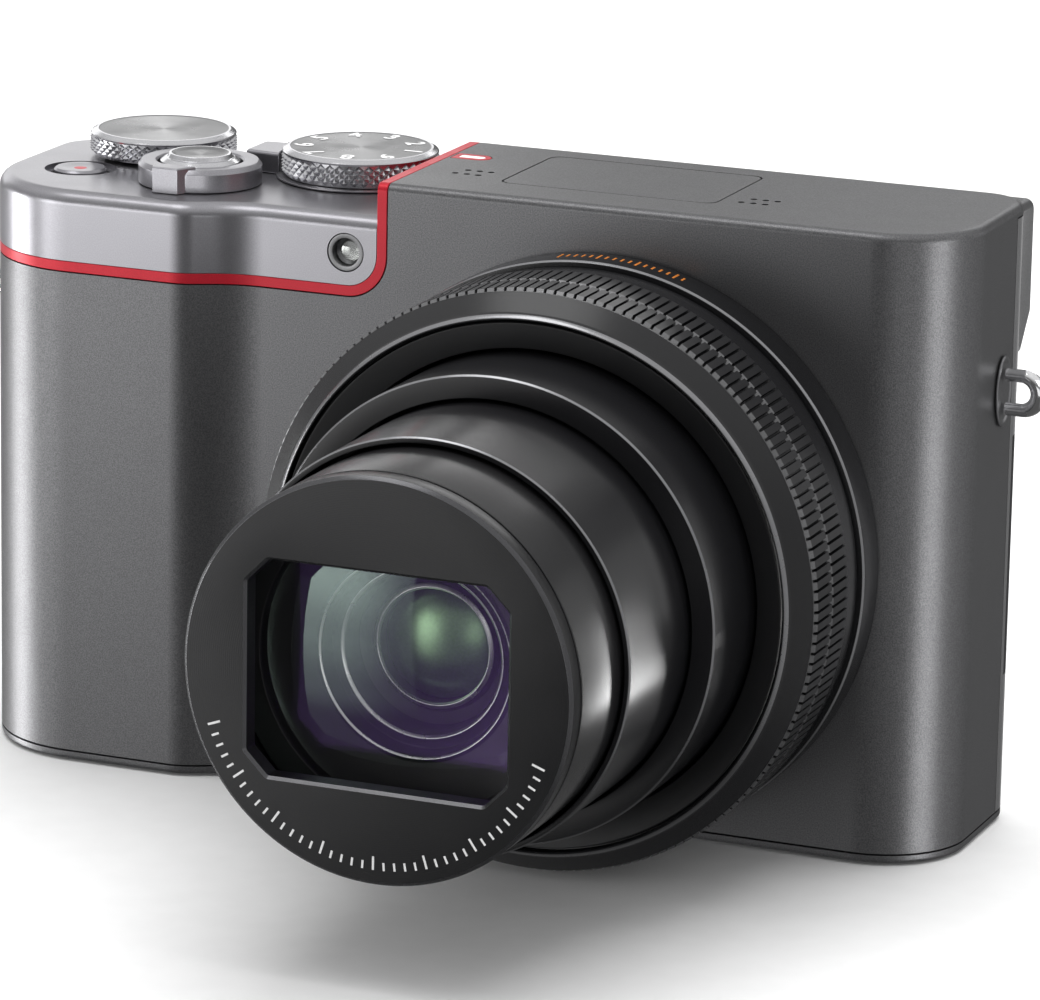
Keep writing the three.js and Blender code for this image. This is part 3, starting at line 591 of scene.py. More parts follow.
def hump(name, inset):
    """The viewfinder housing: a side outline with a sloping foot, run across."""
    back = box_mm("eyepiece_frame")[0].y - 0.2
    front = COVER_SEAM + 2
    foot = 49.2
    top = 65.3
    side = [(front, foot), (BACK, foot), (back, foot + 4.0, 0.8), (back, top, 1.2), (front, top)]
    edge = 0.0 if inset else 0.9
    return prism(name, side, (31.0 + inset, 54.3 - inset), "X", PAINT["dark_metal"], (edge, edge), inset)


def rear_cover():
    top = DECK - WALL - 0.15
    cover = body_block("rear_cover_detail", (COVER_BOTTOM, top), (0, 0), "dark_metal")
    switch_low, switch_high = span("flash_switch", X)
    wheel = middle("diopter_wheel")
    display = rect(*span("display_glass", X, SEAM), *span("display_glass", Z, SEAM), 1.6)
    buttons = []
    for node in (*REAR_BUTTONS, "control_pad"):
        at = middle(node)
        buttons.append(drum(half_width(node) + 0.2, (BACK - 9, BACK + 9), (at.x, at.z), "Y", 64))
    carve(cover,
          cavity(DECK + 5),
          ("UNION", hump("cutter", 0.0)),
          hump("cutter", WALL),
          body_block("cutter", (top, DECK + 3), (0, 0), "dark_metal", inset=-0.1),
          ("INTERSECT", block(ACROSS, (COVER_SEAM + SEAM, BACK + 30), (-5, DECK + 5))),
          region_block(HAIRLINE),
          block((BAND_X - 0.1, BAND_X + BAND_WIDTH + 0.1), (FRONT, BACK + 9), (BAND_STEP, 90)),
          prism("cutter", eyepiece_outline(-1.5, 1.0), (BACK - 1, BACK + 9), "Y"),
          block((wheel.x - 2.5, wheel.x + 2.5), (BACK - 3, BACK + 9), (wheel.z - 1.5, wheel.z + 1.5)),
          prism("cutter", display, (BACK - 5, BACK + 5), "Y"),
          block((switch_low - 0.3, switch_high + 2.8), (BACK - 9, BACK + 9), span("flash_switch", Z, 0.3)),
          block((HALF - 7, HALF + 7), span("port_door", Y, SEAM), span("port_door", Z, SEAM)),
          *buttons,
          bevel=0.08)
    stand_in(cover)
    door = body_block("port_door_detail", span("port_door", Z), (0.05, 0.05), "black_plastic")
    carve(door,
          cavity(DECK + 5),
          ("INTERSECT", block((HALF - 7, HALF + 7), span("port_door", Y), (0, DECK))),
          bevel=0.12)
    stand_in(door)


def base_cover():
    cover = body_block("base_cover_detail", (0.0, top_of("base_cover")), (0.5, 0), "dark_metal")
    socket = middle("tripod_socket")
    screws = ("base_screw_1", "base_screw_2")
    carve(cover,
          block(span("battery_door", X, SEAM), span("battery_door", Y, SEAM), (-3, 3)),
          drum(4.05, (-3, 3), socket.xy, segments=64),
          *(drum(1.4, (-3, 3), middle(node).xy) for node in screws),
          bevel=0.08)
    stand_in(cover)
    bush = turned("tripod_socket_detail", socket_profile(), PAINT["brass"], segments=64, softness=0.05)
    stand_in(stand(bush, *socket.xy))
    for node in screws:
        screw(node)


def socket_profile():
    """The bush with its thread as a row of small ridges inside."""
    profile = [(3.9, 0.05), (3.9, 1.2), (6.5, 1.2), (6.5, 2.4), (4.6, 2.4), (4.6, 5.5)]
    pitch = 1.27
    for k in range(4):
        height = 5.4 - k * pitch
        profile += [(3.5, height, 0.02), (3.1, height - pitch / 2, 0.05)]
    return profile + [(3.4, 0.05)]


def screw(node):
    """A countersunk cross-head screw."""
    head = turned(f"{node}_detail", [(0, 0.15), (1.2, 0.15), (1.2, 0.7), (0.6, 0.9), (0.6, 5), (0, 5)],
                  PAINT["satin_steel"], segments=32, softness=0.08)
    long, short = (-0.8, 0.8), (-0.16, 0.16)
    carve(head, block(long, short, (0, 0.5)), block(short, long, (0, 0.5)), bevel=0.03)
    stand_in(stand(head, *middle(node).xy))


# ---------------------------------------------------------------- flash

def flash():
    low, high = box_mm("flash_head")
    head = prism("flash_head_detail", flash_outline(-0.03), (low.z, DECK), "Z", PAINT["dark_metal"],
                 (0.3, 0.03), steps=6)
    window_low, window_high = box_mm("flash_window")
    lean = [(low.y - 3, DECK - 1.5), (low.y - 0.1, DECK - 1.5), (low.y + 0.5, low.z), (low.y + 0.5, 50),
            (low.y - 3, 50)]
    carve(head,
          prism("cutter", lean, (low.x - 2, high.x + 2), "X"),
          block(span("flash_window", X, 0.3), (low.y - 2, window_high.y + 0.2), span("flash_window", Z, 0.3)),
          block((low.x + 2.8, high.x - 2.8), (low.y + 3.3, high.y - 1.8), (low.z - 2, DECK - 1.2)),
          bevel=0.06)
    stand_in(head)
    folds = 80
    fold_depth = 0.12
    rings = []
    for k in range(folds + 1):
        x = window_low.x + (window_high.x - window_low.x) * k / folds
        y = window_low.y + (fold_depth if k % 2 else 0.0)
        rings.append([(x, y, window_low.z), (x, y, window_high.z), (x, window_high.y, window_high.z),
                      (x, window_high.y, window_low.z)])
    stand_in(make("flash_window_detail", *skin(rings), PAINT["flash_glass"], 10))


# ---------------------------------------------------------------- lens

def on_lens(made):
    """Puts a piece on the lens axis, its heights being depths behind the front face."""
    return face_back(made, (LENS.x, FRONT, LENS.z))


def lens_piece(name, profile, material, **options):
    return on_lens(turned(name, profile, material, segments=192, **options))


def base_ring():
    profile = [(26.4, -0.1), (30.4, -0.1), (30.4, -4.3, 0.08), (30.2, -4.6, 0.08), (26.4, -4.6)]
    ring = lens_piece("lens_base_ring_detail", profile, PAINT["black_metal"])
    # A thin band of the rear bevel is painted lighter metal: a painted highlight line.
    repaint(ring, HIGHLIGHT_RIM, lambda c, n: -4.57 < c.z < -4.32 and c.xy.length > 30.1)
    stand_in(ring)


def control_ring():
    """Two rows of ribs round the ring, half a pitch apart, with plain bands behind and in front."""
    root = 29.82
    crest = 30.25
    ribs = 176
    phases = (-0.15, -0.08, 0.08, 0.15, 0.35, 0.42, 0.58, 0.65)
    raised = {"back": (1, 0, 0, 1, 1, 1, 1, 1), "front": (1, 1, 1, 1, 1, 0, 0, 1)}
    profile = [(26.1, -4.9), (29.65, -4.9), (29.8, -5.05), (29.8, -8.5), (29.95, -8.6), (29.95, -8.8),
               (root, -8.9), (crest, -9.0, "back"), (crest, -13.3, "back"), (root, -13.62), (root, -13.64),
               (crest, -13.72, "front"), (crest, -17.8, "front"), (root, -18.12), (root, -18.22),
               (29.98, -18.3), (29.98, -18.5), (29.7, -18.75), (29.62, -18.85), (28.25, -19.95),
               (28.12, -20.1), (28.05, -20.3), (27.7, -20.65), (27.62, -20.7), (27.5, -20.6), (27.5, -19.4),
               (26.1, -19.0)]
    rings = []
    for radius, depth, *row in profile:
        points = []
        for column in range(ribs * len(phases)):
            rib, step = divmod(column, len(phases))
            reach = radius if not row or raised[row[0]][step] else root
            points.append(polar(reach, 2 * math.pi * (rib + phases[step]) / ribs, depth))
        rings.append(points)
    ring = on_lens(make("control_ring_detail", *skin(rings, closed=True), PAINT["black_metal"], 30))
    repaint(ring, PAD_BLACK, lambda c, n: c.xy.length > 30.2)
    repaint(ring, RING_GREY,
            lambda c, n: (-13.63 < c.z < -13.3 or -18.6 < c.z < -17.8) and c.xy.length > 29.9)
    # The front chamfer is painted lighter metal: a painted highlight line.
    repaint(ring, HIGHLIGHT_RIM, lambda c, n: c.z < -20.25 and c.xy.length > 27.7)
    stand_in(ring)


def barrels():
    """The fixed sleeve and the three barrels that slide out of it, from the back to the front."""
    profile = [(24.4, -19.5), (27.2, -20.4), (27.2, -19.8), (25.6, -19.2), (25.6, 13.4), (10, 13.4),
               (10, 12.2), (24.4, 12.2)]
    stand_in(lens_piece("lens_fixed_barrel_detail", profile, PAINT["matte_black"]))
    profile = [(21.6, -30.3), (23.82, -30.3, 0.03), (24.0, -30.12, 0.03), (24.0, -0.3), (22.7, -0.3),
               (22.7, -28.7), (21.6, -28.7)]
    rear = lens_piece("rear_barrel_detail", profile, PAINT["black_metal"])
    rim(rear, 23.8, 24.0)
    stand_in(rear)
    profile = [(20.55, -45.6), (21.04, -45.6, 0.03), (21.2, -45.44, 0.03), (21.2, -19.6), (22.3, -19.6),
               (22.3, -17.6), (20.55, -17.6)]
    central = lens_piece("middle_barrel_detail", profile, PAINT["black_metal"])
    rim(central, 21.02, 21.2)
    stand_in(central)
    profile = [(18.6, -55.3), (20.15, -55.3), (20.15, -35.8), (18.6, -35.8)]
    stand_in(lens_piece("front_barrel_detail", profile, SATIN_BARREL))


def rim(made, inner, outer):
    """A lighter metal line on the cut-back front edge: a painted highlight."""
    repaint(made, HIGHLIGHT_RIM, lambda c, n: inner <= c.xy.length <= outer and n.z < -0.3 and n.xy.length > 0.3)


def opening():
    """The lens opening in front elevation: a rectangle with its corners cut off."""
    u, v, cut, radius = 13.55, 10.75, 2.3, 0.5
    outline = [(-u + cut, -v), (u - cut, -v), (u, -v + cut), (u, v - cut),
               (u - cut, v), (-u + cut, v), (-u, v - cut), (-u, -v + cut)]
    return [(LENS.x + a, LENS.z + b, radius) for a, b in outline]


def front_ring():
    y = box_mm("front_ring")[0].y
    face = y - FRONT
    profile = [(0, face), (19.8, face, 0.05), (20.15, face + 0.35, 0.05), (20.15, -55.6), (0, -55.6)]
    disc = lens_piece("front_ring_detail", profile, SPUN_BLACK)
    funnel = [(-1.3, y - 1.0), (-0.3, y), (0.0, y + 0.3), (0.0, y + 5)]
    carve(disc, loft("cutter", opening(), funnel, "Y", PAINT["matte_black"], 6))
    # The opening's chamfer and the disc's outer edge are painted a lighter metal than the disc: a faint
    # painted highlight.
    repaint(disc, FAINT_HIGHLIGHT_EDGE, lambda c, n: abs(c.x) < 14.5 and abs(c.y) < 11.5 and -0.9 < n.z < -0.3)
    repaint(disc, FAINT_HIGHLIGHT_EDGE, lambda c, n: 19.75 < c.xy.length and c.z < face + 0.4)
    stand_in(disc)


def cap(radius, height, rise, steps):
    """Profile of a spherical face from the axis out; its rim lies rise beyond its middle."""
    sphere = (radius ** 2 + rise ** 2) / (2 * abs(rise))
    reaches = [radius * k / steps for k in range(steps + 1)]
    return [(r, height + math.copysign(sphere - math.sqrt(sphere ** 2 - r ** 2), rise), 0.0) for r in reaches]


def dome(radius, front, rise, back, sink=0.0, steps=28):
    """Profile of a lens element with a spherical front and a back that bulges by sink."""
    back_face = cap(radius, back, -sink, steps) if sink else [(0, back), (radius, back, 0.1)]
    return back_face + cap(radius, front, rise, steps)[::-1]


def glass():
    front = lens_piece("front_glass_detail", dome(17.9, -54.9, 4.0, -49.5, 1.05), PAINT["lens_glass"])
    repaint(front, VIOLET_COAT, lambda c, n: n.z > 0.5)
    stand_in(front)
    profile = [(15.4, -50.6), (18.2, -50.6), (18.2, -38), (5.7, -38), (5.7, -43.6), (5.9, -43.9, 0.1),
               (6.3, -43.7, 0.1), (6.7, -42.9), (7.9, -43.6), (8.2, -46.4, 0.1), (8.5, -46.7, 0.1),
               (8.8, -46.5, 0.1), (9.6, -46.2), (9.9, -48.2, 0.1), (10.1, -48.4, 0.1), (10.5, -48.2),
               (15.2, -49.3)]
    cell = lens_piece("lens_cell_detail", profile, PAINT["matte_black"])
    # Rings on the cell's forward-facing crests are painted near-white: painted glints of light.
    glint_rings = ((5.72, 6.35), (8.25, 8.6), (9.95, 10.12))
    repaint(cell, PAINTED_GLINT, lambda c, n: n.z < -0.3 and any(a < c.xy.length < b for a, b in glint_rings))
    stand_in(cell)
    inside = lens_piece("inner_glass_detail", dome(5.6, -43.8, 1.7, -41.9), GREEN_COAT)
    stand_in(inside)
    deep = lens_piece("deep_element", dome(5.6, -41.2, 1.1, -39.4), DEEP_GLASS)
    extra(deep, "inner_glass")


def scale_marks(name, node, material, radius, depth, angles, size, along=False):
    """Short index lines; along lays them on the ring's side, otherwise on its front face."""
    marks = []
    for k, angle in enumerate(angles):
        length = size * (1.0 if k % 5 else 1.7)
        spoke = Vector(polar(1.0, angle, 0.0))
        across = Vector((-spoke.y, spoke.x, 0)) * 0.11
        if along:
            start, stop = (spoke * radius + Vector((0, 0, depth + way * length / 2)) for way in (-1, 1))
            up = spoke * 0.02
        else:
            start, stop = (spoke * reach + Vector((0, 0, depth)) for reach in (radius - length, radius))
            up = Vector((0, 0, -0.02))
        flat = (start - across, start + across, stop + across, stop - across)
        marks.append(skin([[corner + lift for corner in flat] for lift in (-up, up)]))
    extra(on_lens(make(name, *merged(marks), material)), node)


# ---------------------------------------------------------------- dials and levers

def knurled_dial(node, count, rows):
    """A dial with a diamond-cut rim, a polished edge and a spun top."""
    at = middle(node)
    radius = half_width(node)
    bottom = SILVER + 0.35
    height = top_of(node) - bottom
    cut = 0.42
    foot = 0.12
    lip = 0.62
    columns = 2 * count
    profile = [(0.0, 0.0), (radius - 0.9, 0.0), (radius - cut - 0.02, 0.05)]
    first_knurl = len(profile)
    profile += [(radius - cut, foot + (height - foot - lip) * j / rows) for j in range(rows + 1)]
    profile += [(radius - 0.16, height - lip + 0.02), (radius - 0.12, height - 0.42),
                (radius - 0.2, height - 0.3), (radius - 0.62, height - 0.06), (radius - 0.72, height),
                (radius - 0.95, height), (radius - 1.05, height - 0.05), (0.0, height - 0.14)]
    rings = []
    for row, (r, z) in enumerate(profile, start=-first_knurl):
        peaks = [cut if 0 < row < rows and (i + row) % 2 == 0 else 0.0 for i in range(columns if r else 1)]
        rings.append([polar(r + peak, math.pi * i / count, z) for i, peak in enumerate(peaks)])
    points, bands = skin(rings)
    faces = []
    for index, face in enumerate(bands):
        row = index // columns - first_knurl
        if 0 <= row < rows:
            a, b, c, d = face
            faces += [[a, b, d], [b, c, d]] if (index % columns + row) % 2 == 0 else [[a, b, c], [a, c, d]]
        else:
            faces.append(face)
    dial = stand(make(f"{node}_detail", points, faces, KNURL, 22), at.x, at.y, bottom)
    repaint(dial, PAINT["spun_metal"], lambda c, n: c.z > height - 0.2 and c.xy.length < radius - 1.0)
    repaint(dial, BRIGHT_EDGE, lambda c, n: c.z > height - lip + 0.03 and c.xy.length > radius - 1.0)
    stand_in(dial)
    # A near-black disc in the gap under the dial: painted shadow.
    shade_disc = turned(f"{node}_hub", [(0, -0.3), (radius - 1.6, -0.3), (radius - 1.6, 0.02), (0, 0.02)], PAINTED_SHADE_BLACK)
    extra(stand(shade_disc, at.x, at.y, bottom), node)


def numeral(text):
    """Points and faces of a plain raised number, centred on its own origin."""
    curve = bpy.data.curves.new("numeral", "FONT")
    curve.body = text
    curve.size = 2.9 * MM
    curve.offset = 0.06 * MM
    curve.extrude = 0.03 * MM
    curve.align_x = "CENTER"
    curve.align_y = "CENTER"
    letter = bpy.data.objects.new("numeral", curve)
    bpy.context.scene.collection.objects.link(letter)
    bpy.context.view_layer.update()
    mesh = bpy.data.meshes.new_from_object(letter.evaluated_get(bpy.context.evaluated_depsgraph_get()))
    bpy.data.objects.remove(letter)
    return [v.co.copy() for v in mesh.vertices], [list(face.vertices) for face in mesh.polygons]


def dial_numbers():
    """Plain numbers round the mode dial."""
    at = middle("mode_dial")
    reach = half_width("mode_dial") - 2.5
    count = 9
    numbers = []
    for k in range(count):
        points, faces = numeral(str(k + 1))
        turn = Matrix.Rotation(2 * math.pi * k / count - math.pi / 2, 4, "Z")
        place = turn @ Matrix.Translation((0, reach * MM, 0))
        numbers.append(([(place @ point) / MM for point in points], faces))
    printed = make("mode_dial_numbers", *merged(numbers), WHITE_FILL, 30)
    extra(stand(printed, at.x, at.y, top_of("mode_dial") - 0.05), "mode_dial")


def zoom_controls():
    """The zoom collar with its finger tab, and the shutter button inside it."""
    button = middle("shutter_button")
    top = 64.9
    bottom = SILVER + 0.08
    profile = [(4.45, bottom), (6.55, bottom), (6.6, top - 0.5, 0.1), (6.2, top, 0.12), (4.75, top, 0.12),
               (4.55, top - 0.25)]
    ring = turned("zoom_lever_detail", profile, PAINT["silver_metal"], segments=128)
    stand(ring, button.x, button.y)
    tab = [(-2.1, -7.4, 0.15), (0.8, -7.4, 0.15), (1.9, -5.2), (-3.0, -5.2)]
    grip = prism("cutter", [(button.x + u, button.y + v, *r) for u, v, *r in tab],
                 (bottom, top_of("zoom_lever")), "Z", PAINT["silver_metal"], (0, 0.2))
    carve(ring, ("UNION", grip), bevel=0.1)
    stand_in(ring)
    crown = top_of("shutter_button")
    profile = [(0, 59.2), (2.0, 59.2), (2.0, 63.7), (4.25, 63.7), (4.25, 64.8, 0.1), (3.75, 65.15, 0.12),
               (3.5, 65.2, 0.1), (3.3, crown, 0.08), (3.05, crown, 0.08), (2.6, crown - 0.2, 0.5),
               (0, crown - 0.32)]
    press = turned("shutter_button_detail", profile, BRIGHT_EDGE, segments=128)
    repaint(press, PAINT["spun_metal"], lambda c, n: c.z > 64 and c.xy.length < 3.0 and n.z > 0.5)
    stand_in(stand(press, button.x, button.y))


def record_button():
    at = middle("record_button")
    top = SILVER + 0.18
    profile = [(0, SILVER - 2), (2.85, SILVER - 2), (2.85, top - 0.25, 0.1), (2.6, top, 0.15),
               (1.9, top - 0.03, 0.4), (0, top - 0.2)]
    button = turned("record_button_detail", profile, PAINT["silver_metal"])
    stand_in(stand(button, at.x, at.y))
    dot = turned("record_dot", [(0, 0), (0.85, 0), (0.85, 0.06), (0, 0.07)], PAINT["red_trim"],
                 segments=32, softness=0.02)
    extra(stand(dot, at.x, at.y, top - 0.2), "record_button", "red_trim")


def power_lever():
    """A thin plate under the mode dial with a block of an arm that sticks out at the side."""
    at = middle("mode_dial")
    low, high = box_mm("power_lever")
    arm = [(low.x, at.y - 2.6, 0.6), (at.x - 7.5, at.y - 3.1), (at.x - 7.5, at.y + 3.1),
           (low.x, at.y + 2.6, 0.6)]
    lever = prism("power_lever_detail", arm, (SILVER + 0.1, high.z), "Z", PAINT["silver_metal"], (0, 0.35))
    carve(lever, drum(half_width("mode_dial") + 0.25, (SILVER - 3, 80), at.xy, segments=96), bevel=0.1)
    stand_in(lever)
    plate = turned("power_lever_plate", [(2.6, 0.12), (9.0, 0.12), (9.0, 0.3), (2.6, 0.3)],
                   PAINT["silver_metal"], softness=0.04)
    extra(stand(plate, at.x, at.y, SILVER), "power_lever")


# ---------------------------------------------------------------- small fittings

def focus_lamp():
    """A small clear lens in a sleeve, over a bright cup."""
    at = middle("focus_lamp")
    place = (at.x, FRONT, at.z)
    sleeve = turned("focus_lamp_detail", [(1.5, 0.1), (2.0, 0.08, 0.06), (2.0, 1.6), (1.5, 1.6)], RING_GREY,
                    segments=64, softness=0.05)
    stand_in(face_back(sleeve, place))
    lens = turned("focus_lamp_lens", dome(1.48, 0.55, 0.5, 1.5, 0.219),
                  see_through("lamp_glass", (0.7, 0.72, 0.7), 0.35), segments=64)
    extra(face_back(lens, place), "focus_lamp")
    cup = turned("focus_lamp_cup", [(0, 1.52), (1.0, 1.5), (1.45, 1.1), (1.49, 1.1), (1.49, 1.59), (0, 1.59)],
                 PAINT["satin_steel"], segments=64, softness=0.03)
    extra(face_back(cup, place), "focus_lamp")


def strap_plate(node, out):
    """An oval plate on the camera's side; out is 1 on the right and -1 on the left."""
    low, high = box_mm(node)
    at = middle(node)
    profile = [(0, 0.0), (1.0, 0.0, 0.01), (1.0, 0.12, 0.03), (0.95, 0.2, 0.02), (0.88, 0.2, 0.02),
               (0.8, 0.08, 0.02), (0, 0.06)]
    oval = turned(f"{node}_detail", profile, PAINT["satin_steel"], softness=0.0)
    oval.rotation_euler.y = out * math.pi / 2
    oval.scale = (3.75, 2.35, 1.0)
    stand_in(stand(oval, low.x if out > 0 else high.x, at.y, at.z))


def strap_lug(node, out):
    """A loop of round wire, thicker at its tip than where it springs from its plate."""
    lug = middle(node)
    radius, tip, foot = 1.80, 0.86, 0.68
    start, bend = HALF + 0.55, HALF + 2.25
    sides, steps = 24, 28
    path = [(start, -radius, foot)]
    for k in range(steps + 1):
        angle = math.pi * (k / steps - 0.5)
        path.append((bend + radius * math.cos(angle), radius * math.sin(angle),
                     foot + (tip - foot) * math.cos(angle)))
    path.append((start, radius, foot))
    rings = []
    for k, (x, z, wire) in enumerate(path):
        before = Vector(path[max(k - 1, 0)][:2])
        after = Vector(path[min(k + 1, len(path) - 1)][:2])
        along = (after - before).normalized()
        ring = []
        for i in range(sides):
            swell, y, _ = polar(wire, 2 * math.pi * i / sides, 0.0)
            ring.append((out * (x - along.y * swell), lug.y + y, lug.z + z + along.x * swell))
        rings.append(ring)
    stand_in(make(f"{node}_detail", *skin(rings), PAINT["chrome"], 60))


def rear_button(node, profile, **options):
    """A turned black button on the back; its heights run out from the back face."""
    at = middle(node)
    button = turned(f"{node}_detail", profile, PAINT["black_plastic"], **options)
    stand_in(face_back(button, (at.x, BACK, at.z)))


def rear_controls():
    for node in REAR_BUTTONS:
        rear_button(node, [(0, -2.2), (2.5, -2.2), (2.5, 0.35, 0.15), (2.2, 0.6, 0.15), (1.5, 0.58, 0.5),
                           (0, 0.5)])
    rear_button("control_pad", [(4.0, -1.6), (8.4, -1.6), (8.4, 0.4, 0.2), (7.9, 0.8, 0.25),
                                (5.2, 0.62, 1.0), (4.0, 0.6)], segments=128)
    at = middle("control_pad")
    corners = ((-0.55, 5.9), (0.55, 5.9), (0, 6.7))
    arrows = []
    for k in range(4):
        spoke = Matrix.Rotation(k * math.pi / 2, 3, "Y")
        arrows.append(skin([[Vector((at.x, BACK + y, at.z)) + spoke @ Vector((u, 0, h)) for u, h in corners]
                            for y in (0.66, 0.74)]))
    extra(make("control_pad_arrows", *merged(arrows), PALE_PRINT), "control_pad")
    rear_button("set_button", [(0, -1.8), (3.7, -1.8), (3.7, 0.5, 0.15), (3.4, 0.8, 0.15), (0, 0.66)])


def diopter_wheel():
    """The small toothed wheel beside the eyepiece."""
    at = middle("diopter_wheel")
    radius = half_width("diopter_wheel")
    root = radius - 0.18
    teeth = 30
    outline = []
    for k in range(teeth):
        for part, reach in ((0.0, root), (0.25, radius), (0.6, radius), (0.85, root)):
            x, y, _ = polar(reach, 2 * math.pi * (k + part) / teeth, 0.0)
            outline.append((at.x + x, at.y + y))
    wheel = prism("diopter_wheel_detail", outline, span("diopter_wheel", Z), "Z", PAINT["black_plastic"],
                  (0.1, 0.1))
    stand_in(wheel)


def rear_plate(node, slot, corner, edge):
    """A plate that fills its CAD node's box, with round corners and a rounded outer edge."""
    outline = rect(*span(node, X), *span(node, Z), corner)
    return prism(f"{node}_detail", outline, span(node, Y), "Y", PAINT[slot], (0, edge))


def rear_fittings():
    stand_in(rear_plate("display_glass", "display", 1.5, 0.15))
    stand_in(rear_plate("thumb_rest", "rubber", 2.0, 0.7))
    surround = rear_plate("eyepiece_frame", "rubber", 2.0, 0.45)
    hole = prism("cutter", eyepiece_outline(-1.5, 1.0), span("eyepiece_frame", Y, 3.0), "Y")
    carve(surround, hole, bevel=0.15)
    stand_in(surround)
    stand_in(rear_plate("eyepiece_glass", "display", 1.0, 0.25))


def keep_cad(*nodes):
    """CAD nodes that stay as they are, with eased edges and their slot's finish."""
    for node in nodes:
        kept = frame["nodes"][node]
        kept.data.materials.clear()
        kept.data.materials.append(PAINT[SLOT_OF[node]])
        ease(kept, 0.12)


# ---------------------------------------------------------------- build the object

front_cover()
top_cover()
trim_band()
rear_cover()
base_cover()
flash()
base_ring()
control_ring()
barrels()
front_ring()
glass()
scale_marks("front_ring_marks", "front_ring", PALE_PRINT, 18.6, -57.8,
            [math.radians(20 + 3.5 * k) for k in range(41)], 0.8)
scale_marks("base_ring_marks", "lens_base_ring", ORANGE_PRINT, 30.4, -2.1,
            [math.radians(-98 + 1.6 * k) for k in range(17)], 1.0, along=True)
knurled_dial("rear_dial", 46, 5)
knurled_dial("mode_dial", 48, 5)
dial_numbers()
zoom_controls()
record_button()
power_lever()
focus_lamp()
for side, out in (("right", 1), ("left", -1)):
    strap_plate(f"strap_plate_{side}", out)
    strap_lug(f"strap_lug_{side}", out)
rear_controls()
diopter_wheel()
rear_fittings()
keep_cad("battery_door", "battery_latch", "flash_switch")
keep_cad("sensor_module", "chassis", "main_board", "display_module", "battery", "memory_card",
         "flash_capacitor", "zoom_motor", "microphone_1", "microphone_2", "viewfinder_module", "zoom_gear")


# ---------------------------------------------------------------- floor and light

def floor():
    """A white table that holds the object's soft shadow and isn't seen in its metal."""
    half = 6.0
    mesh = bpy.data.meshes.new("floor")
    mesh.from_pydata([(u * half, v * half, 0) for u, v in ((-1, -1), (1, -1), (1, 1), (-1, 1))], [],
                     [[0, 1, 2, 3]])
    ground = bpy.data.objects.new("floor", mesh)
    bpy.context.scene.collection.objects.link(ground)
    mesh.materials.append(finish("floor", (0.86, 0.86, 0.86), 0.0, 0.8, grain=4.0, bump=0.0, mottle=0.01))
    ground.location.z = -0.0002
    ground.visible_glossy = False
    ground.visible_shadow = False


def softbox(name, place, size, radiance, aim=(0, 0, 35), glossy=True):
    """An area light at place, turned to aim; both are in millimetres."""
    data = bpy.data.lights.new(name, "AREA")
    data.shape = "RECTANGLE"
    data.size = size[0] * MM
    data.size_y = size[1] * MM
    data.energy = radiance * math.pi * data.size * data.size_y
    light = bpy.data.objects.new(name, data)
    bpy.context.scene.collection.objects.link(light)
    light.location = Vector(place) * MM
    light.rotation_mode = "QUATERNION"
    light.rotation_quaternion = (Vector(aim) - Vector(place)).to_track_quat("-Z", "Y")
    light.visible_camera = False
    light.visible_glossy = glossy
    return light


def far(azimuth, elevation, distance):
    """A place round the camera; azimuth 0 is in front of the lens, and positive is to the viewer's right."""
    a, e = math.radians(azimuth), math.radians(elevation)
    return (distance * math.sin(a) * math.cos(e), -distance * math.cos(a) * math.cos(e),
            35 + distance * math.sin(e))


def only_for(light, *nodes, alone=False):
    """Keeps a light on the pieces named after these nodes; alone leaves nothing else in its way."""
    lit = bpy.data.collections.new(light.name)
    for node in nodes:
        lit.objects.link(bpy.data.objects[f"{node}_detail"])
    light.light_linking.receiver_collection = lit
    if alone:
        light.light_linking.blocker_collection = lit


def surroundings():
    """A dim studio that is brighter behind the object, overhead and at both sides."""
    world = bpy.data.worlds.new("world")
    world.use_nodes = True
    tree = world.node_tree
    axes = tree.nodes.new("ShaderNodeSeparateXYZ")
    tree.links.new(tree.nodes.new("ShaderNodeTexCoord").outputs["Generated"], axes.inputs[0])
    behind, above = (1, 0.09, 0.14, -0.2, 0.7), (2, 0.0, 0.7, 0.1, 0.9)
    left, right = (0, 0.0, 0.3, -0.4, -1.0), (0, 0.0, 0.4, 0.5, 1.0)
    total = None
    for axis, *spread in (behind, above, left, right):
        glow = remapped(tree, axes.outputs[axis], *spread, curve="SMOOTHSTEP")
        if total:
            both = tree.nodes.new("ShaderNodeMath")
            tree.links.new(total, both.inputs[0])
            tree.links.new(glow, both.inputs[1])
            glow = both.outputs[0]
        total = glow
    tree.links.new(total, tree.nodes["Background"].inputs["Strength"])
    tree.nodes["Background"].inputs["Color"].default_value = (1, 1, 1, 1)
    bpy.context.scene.world = world


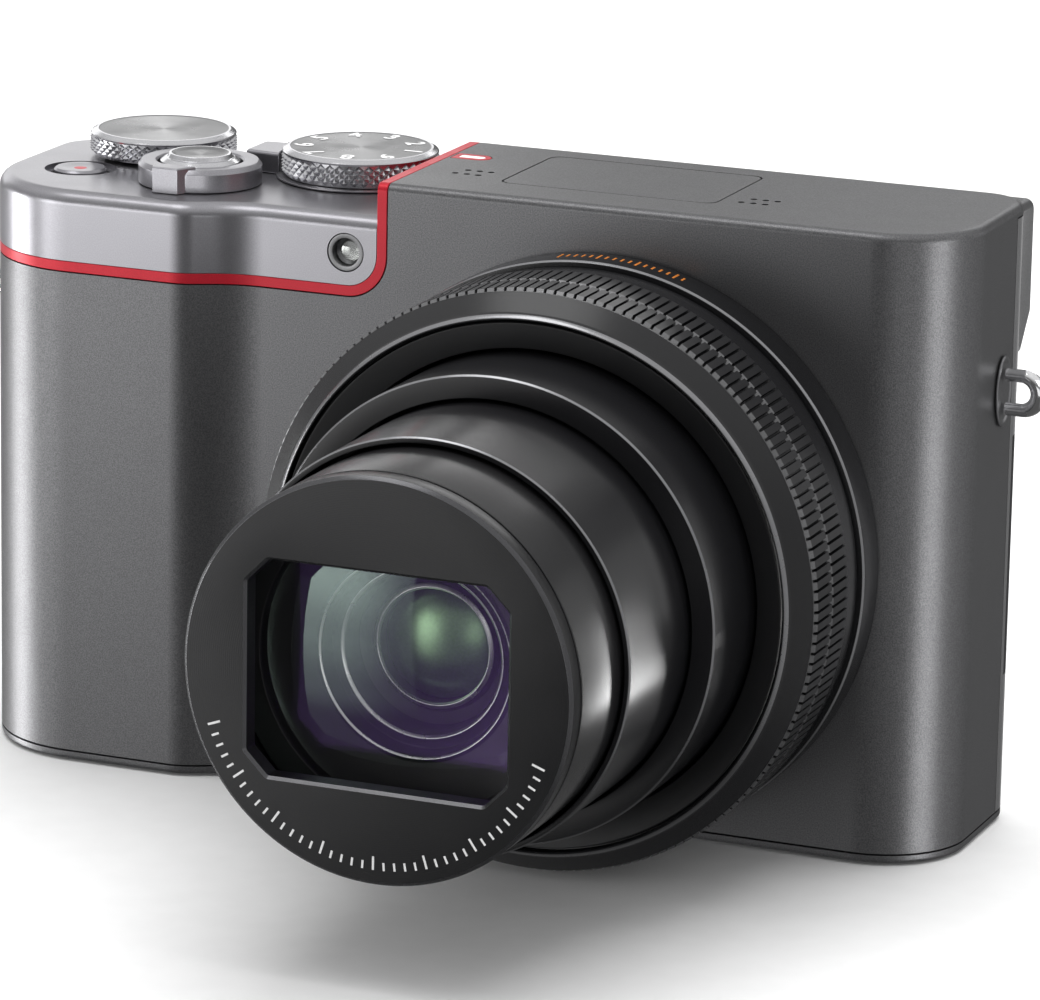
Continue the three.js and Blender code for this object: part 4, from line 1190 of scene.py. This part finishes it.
def shaped(light, across, upwards):
    """Varies a softbox over its face: lists of (place, strength) from its left edge and from its foot."""
    light.data.use_nodes = True
    tree = light.data.node_tree
    face = tree.nodes.new("ShaderNodeSeparateXYZ")
    tree.links.new(tree.nodes.new("ShaderNodeNewGeometry").outputs["Parametric"], face.inputs[0])
    product = tree.nodes.new("ShaderNodeMath")
    product.operation = "MULTIPLY"
    for index, stops in enumerate((across, upwards)):
        ramp = tree.nodes.new("ShaderNodeValToRGB")
        ramp.color_ramp.interpolation = "EASE"
        while len(ramp.color_ramp.elements) < len(stops):
            ramp.color_ramp.elements.new(0.5)
        for element, (place, strength) in zip(ramp.color_ramp.elements, stops):
            element.position = place
            element.color = (strength, strength, strength, 1)
        tree.links.new(face.outputs[index], ramp.inputs[0])
        tree.links.new(ramp.outputs[0], product.inputs[index])
    tree.links.new(product.outputs[0], tree.nodes["Emission"].inputs["Strength"])


def studio():
    """Soft lights round the object, some of them kept on a few pieces."""
    floor()
    key = softbox("key", (-175, -245, -5), (270, 230), 11.0, (-30, 14, 30))
    shaped(key, [(0.0, 0.8), (0.1, 0.45), (0.3, 0.28), (0.6, 0.27), (1.0, 0.06)],
           [(0.0, 0.0), (0.2, 0.2), (0.5, 0.52), (0.8, 1.0), (1.0, 1.0)])
    softbox("side_left", far(-86, -16, 700), (260, 500), 7.5)
    only_for(softbox("corner_right", (223, -36, 0), (80, 200), 3.0, (50, 14, 38)), "front_cover", "top_cover",
             "rear_cover", "base_cover")
    softbox("overhead", far(-50, 68, 800), (400, 300), 2.4)
    softbox("behind_left", far(-138, 14, 700), (500, 260), 1.25)
    softbox("behind_top", far(-176, 25, 900), (420, 130), 2.0)
    softbox("behind_right", far(140, 5, 900), (300, 400), 0.5)
    softbox("front_right", (145, -200, 45), (150, 90), 0.9, (-20, 14, 55))
    rear = softbox("rear", (60, 360, -55), (280, 170), 1.8, (10, 40, 33))
    shaped(rear, [(0.0, 0.1), (0.3, 0.35), (0.7, 0.8), (1.0, 1.0)], [(0.0, 0.3), (0.5, 0.8), (1.0, 1.0)])
    only_for(rear, "rear_cover", "display_glass", "thumb_rest", "eyepiece_frame", "eyepiece_glass",
             "control_pad", "set_button", *REAR_BUTTONS)
    only_for(softbox("front_levers", (20, -270, 40), (260, 90), 3.2, (-30, 27, 62)),
             "zoom_lever", "power_lever")
    only_for(softbox("lug_glint", far(70, 35, 800), (500, 300), 5.0), "strap_lug_right", "strap_lug_left")
    only_for(softbox("barrel_streak", far(156, -12, 900), (110, 300), 15.0), "rear_barrel", "middle_barrel",
             "front_barrel", "lens_fixed_barrel", alone=True)
    softbox("table", far(170, 72, 1200), (1200, 1200), 3.4, glossy=False)
    surroundings()
    bpy.context.scene.view_settings.view_transform = "Standard"


studio()
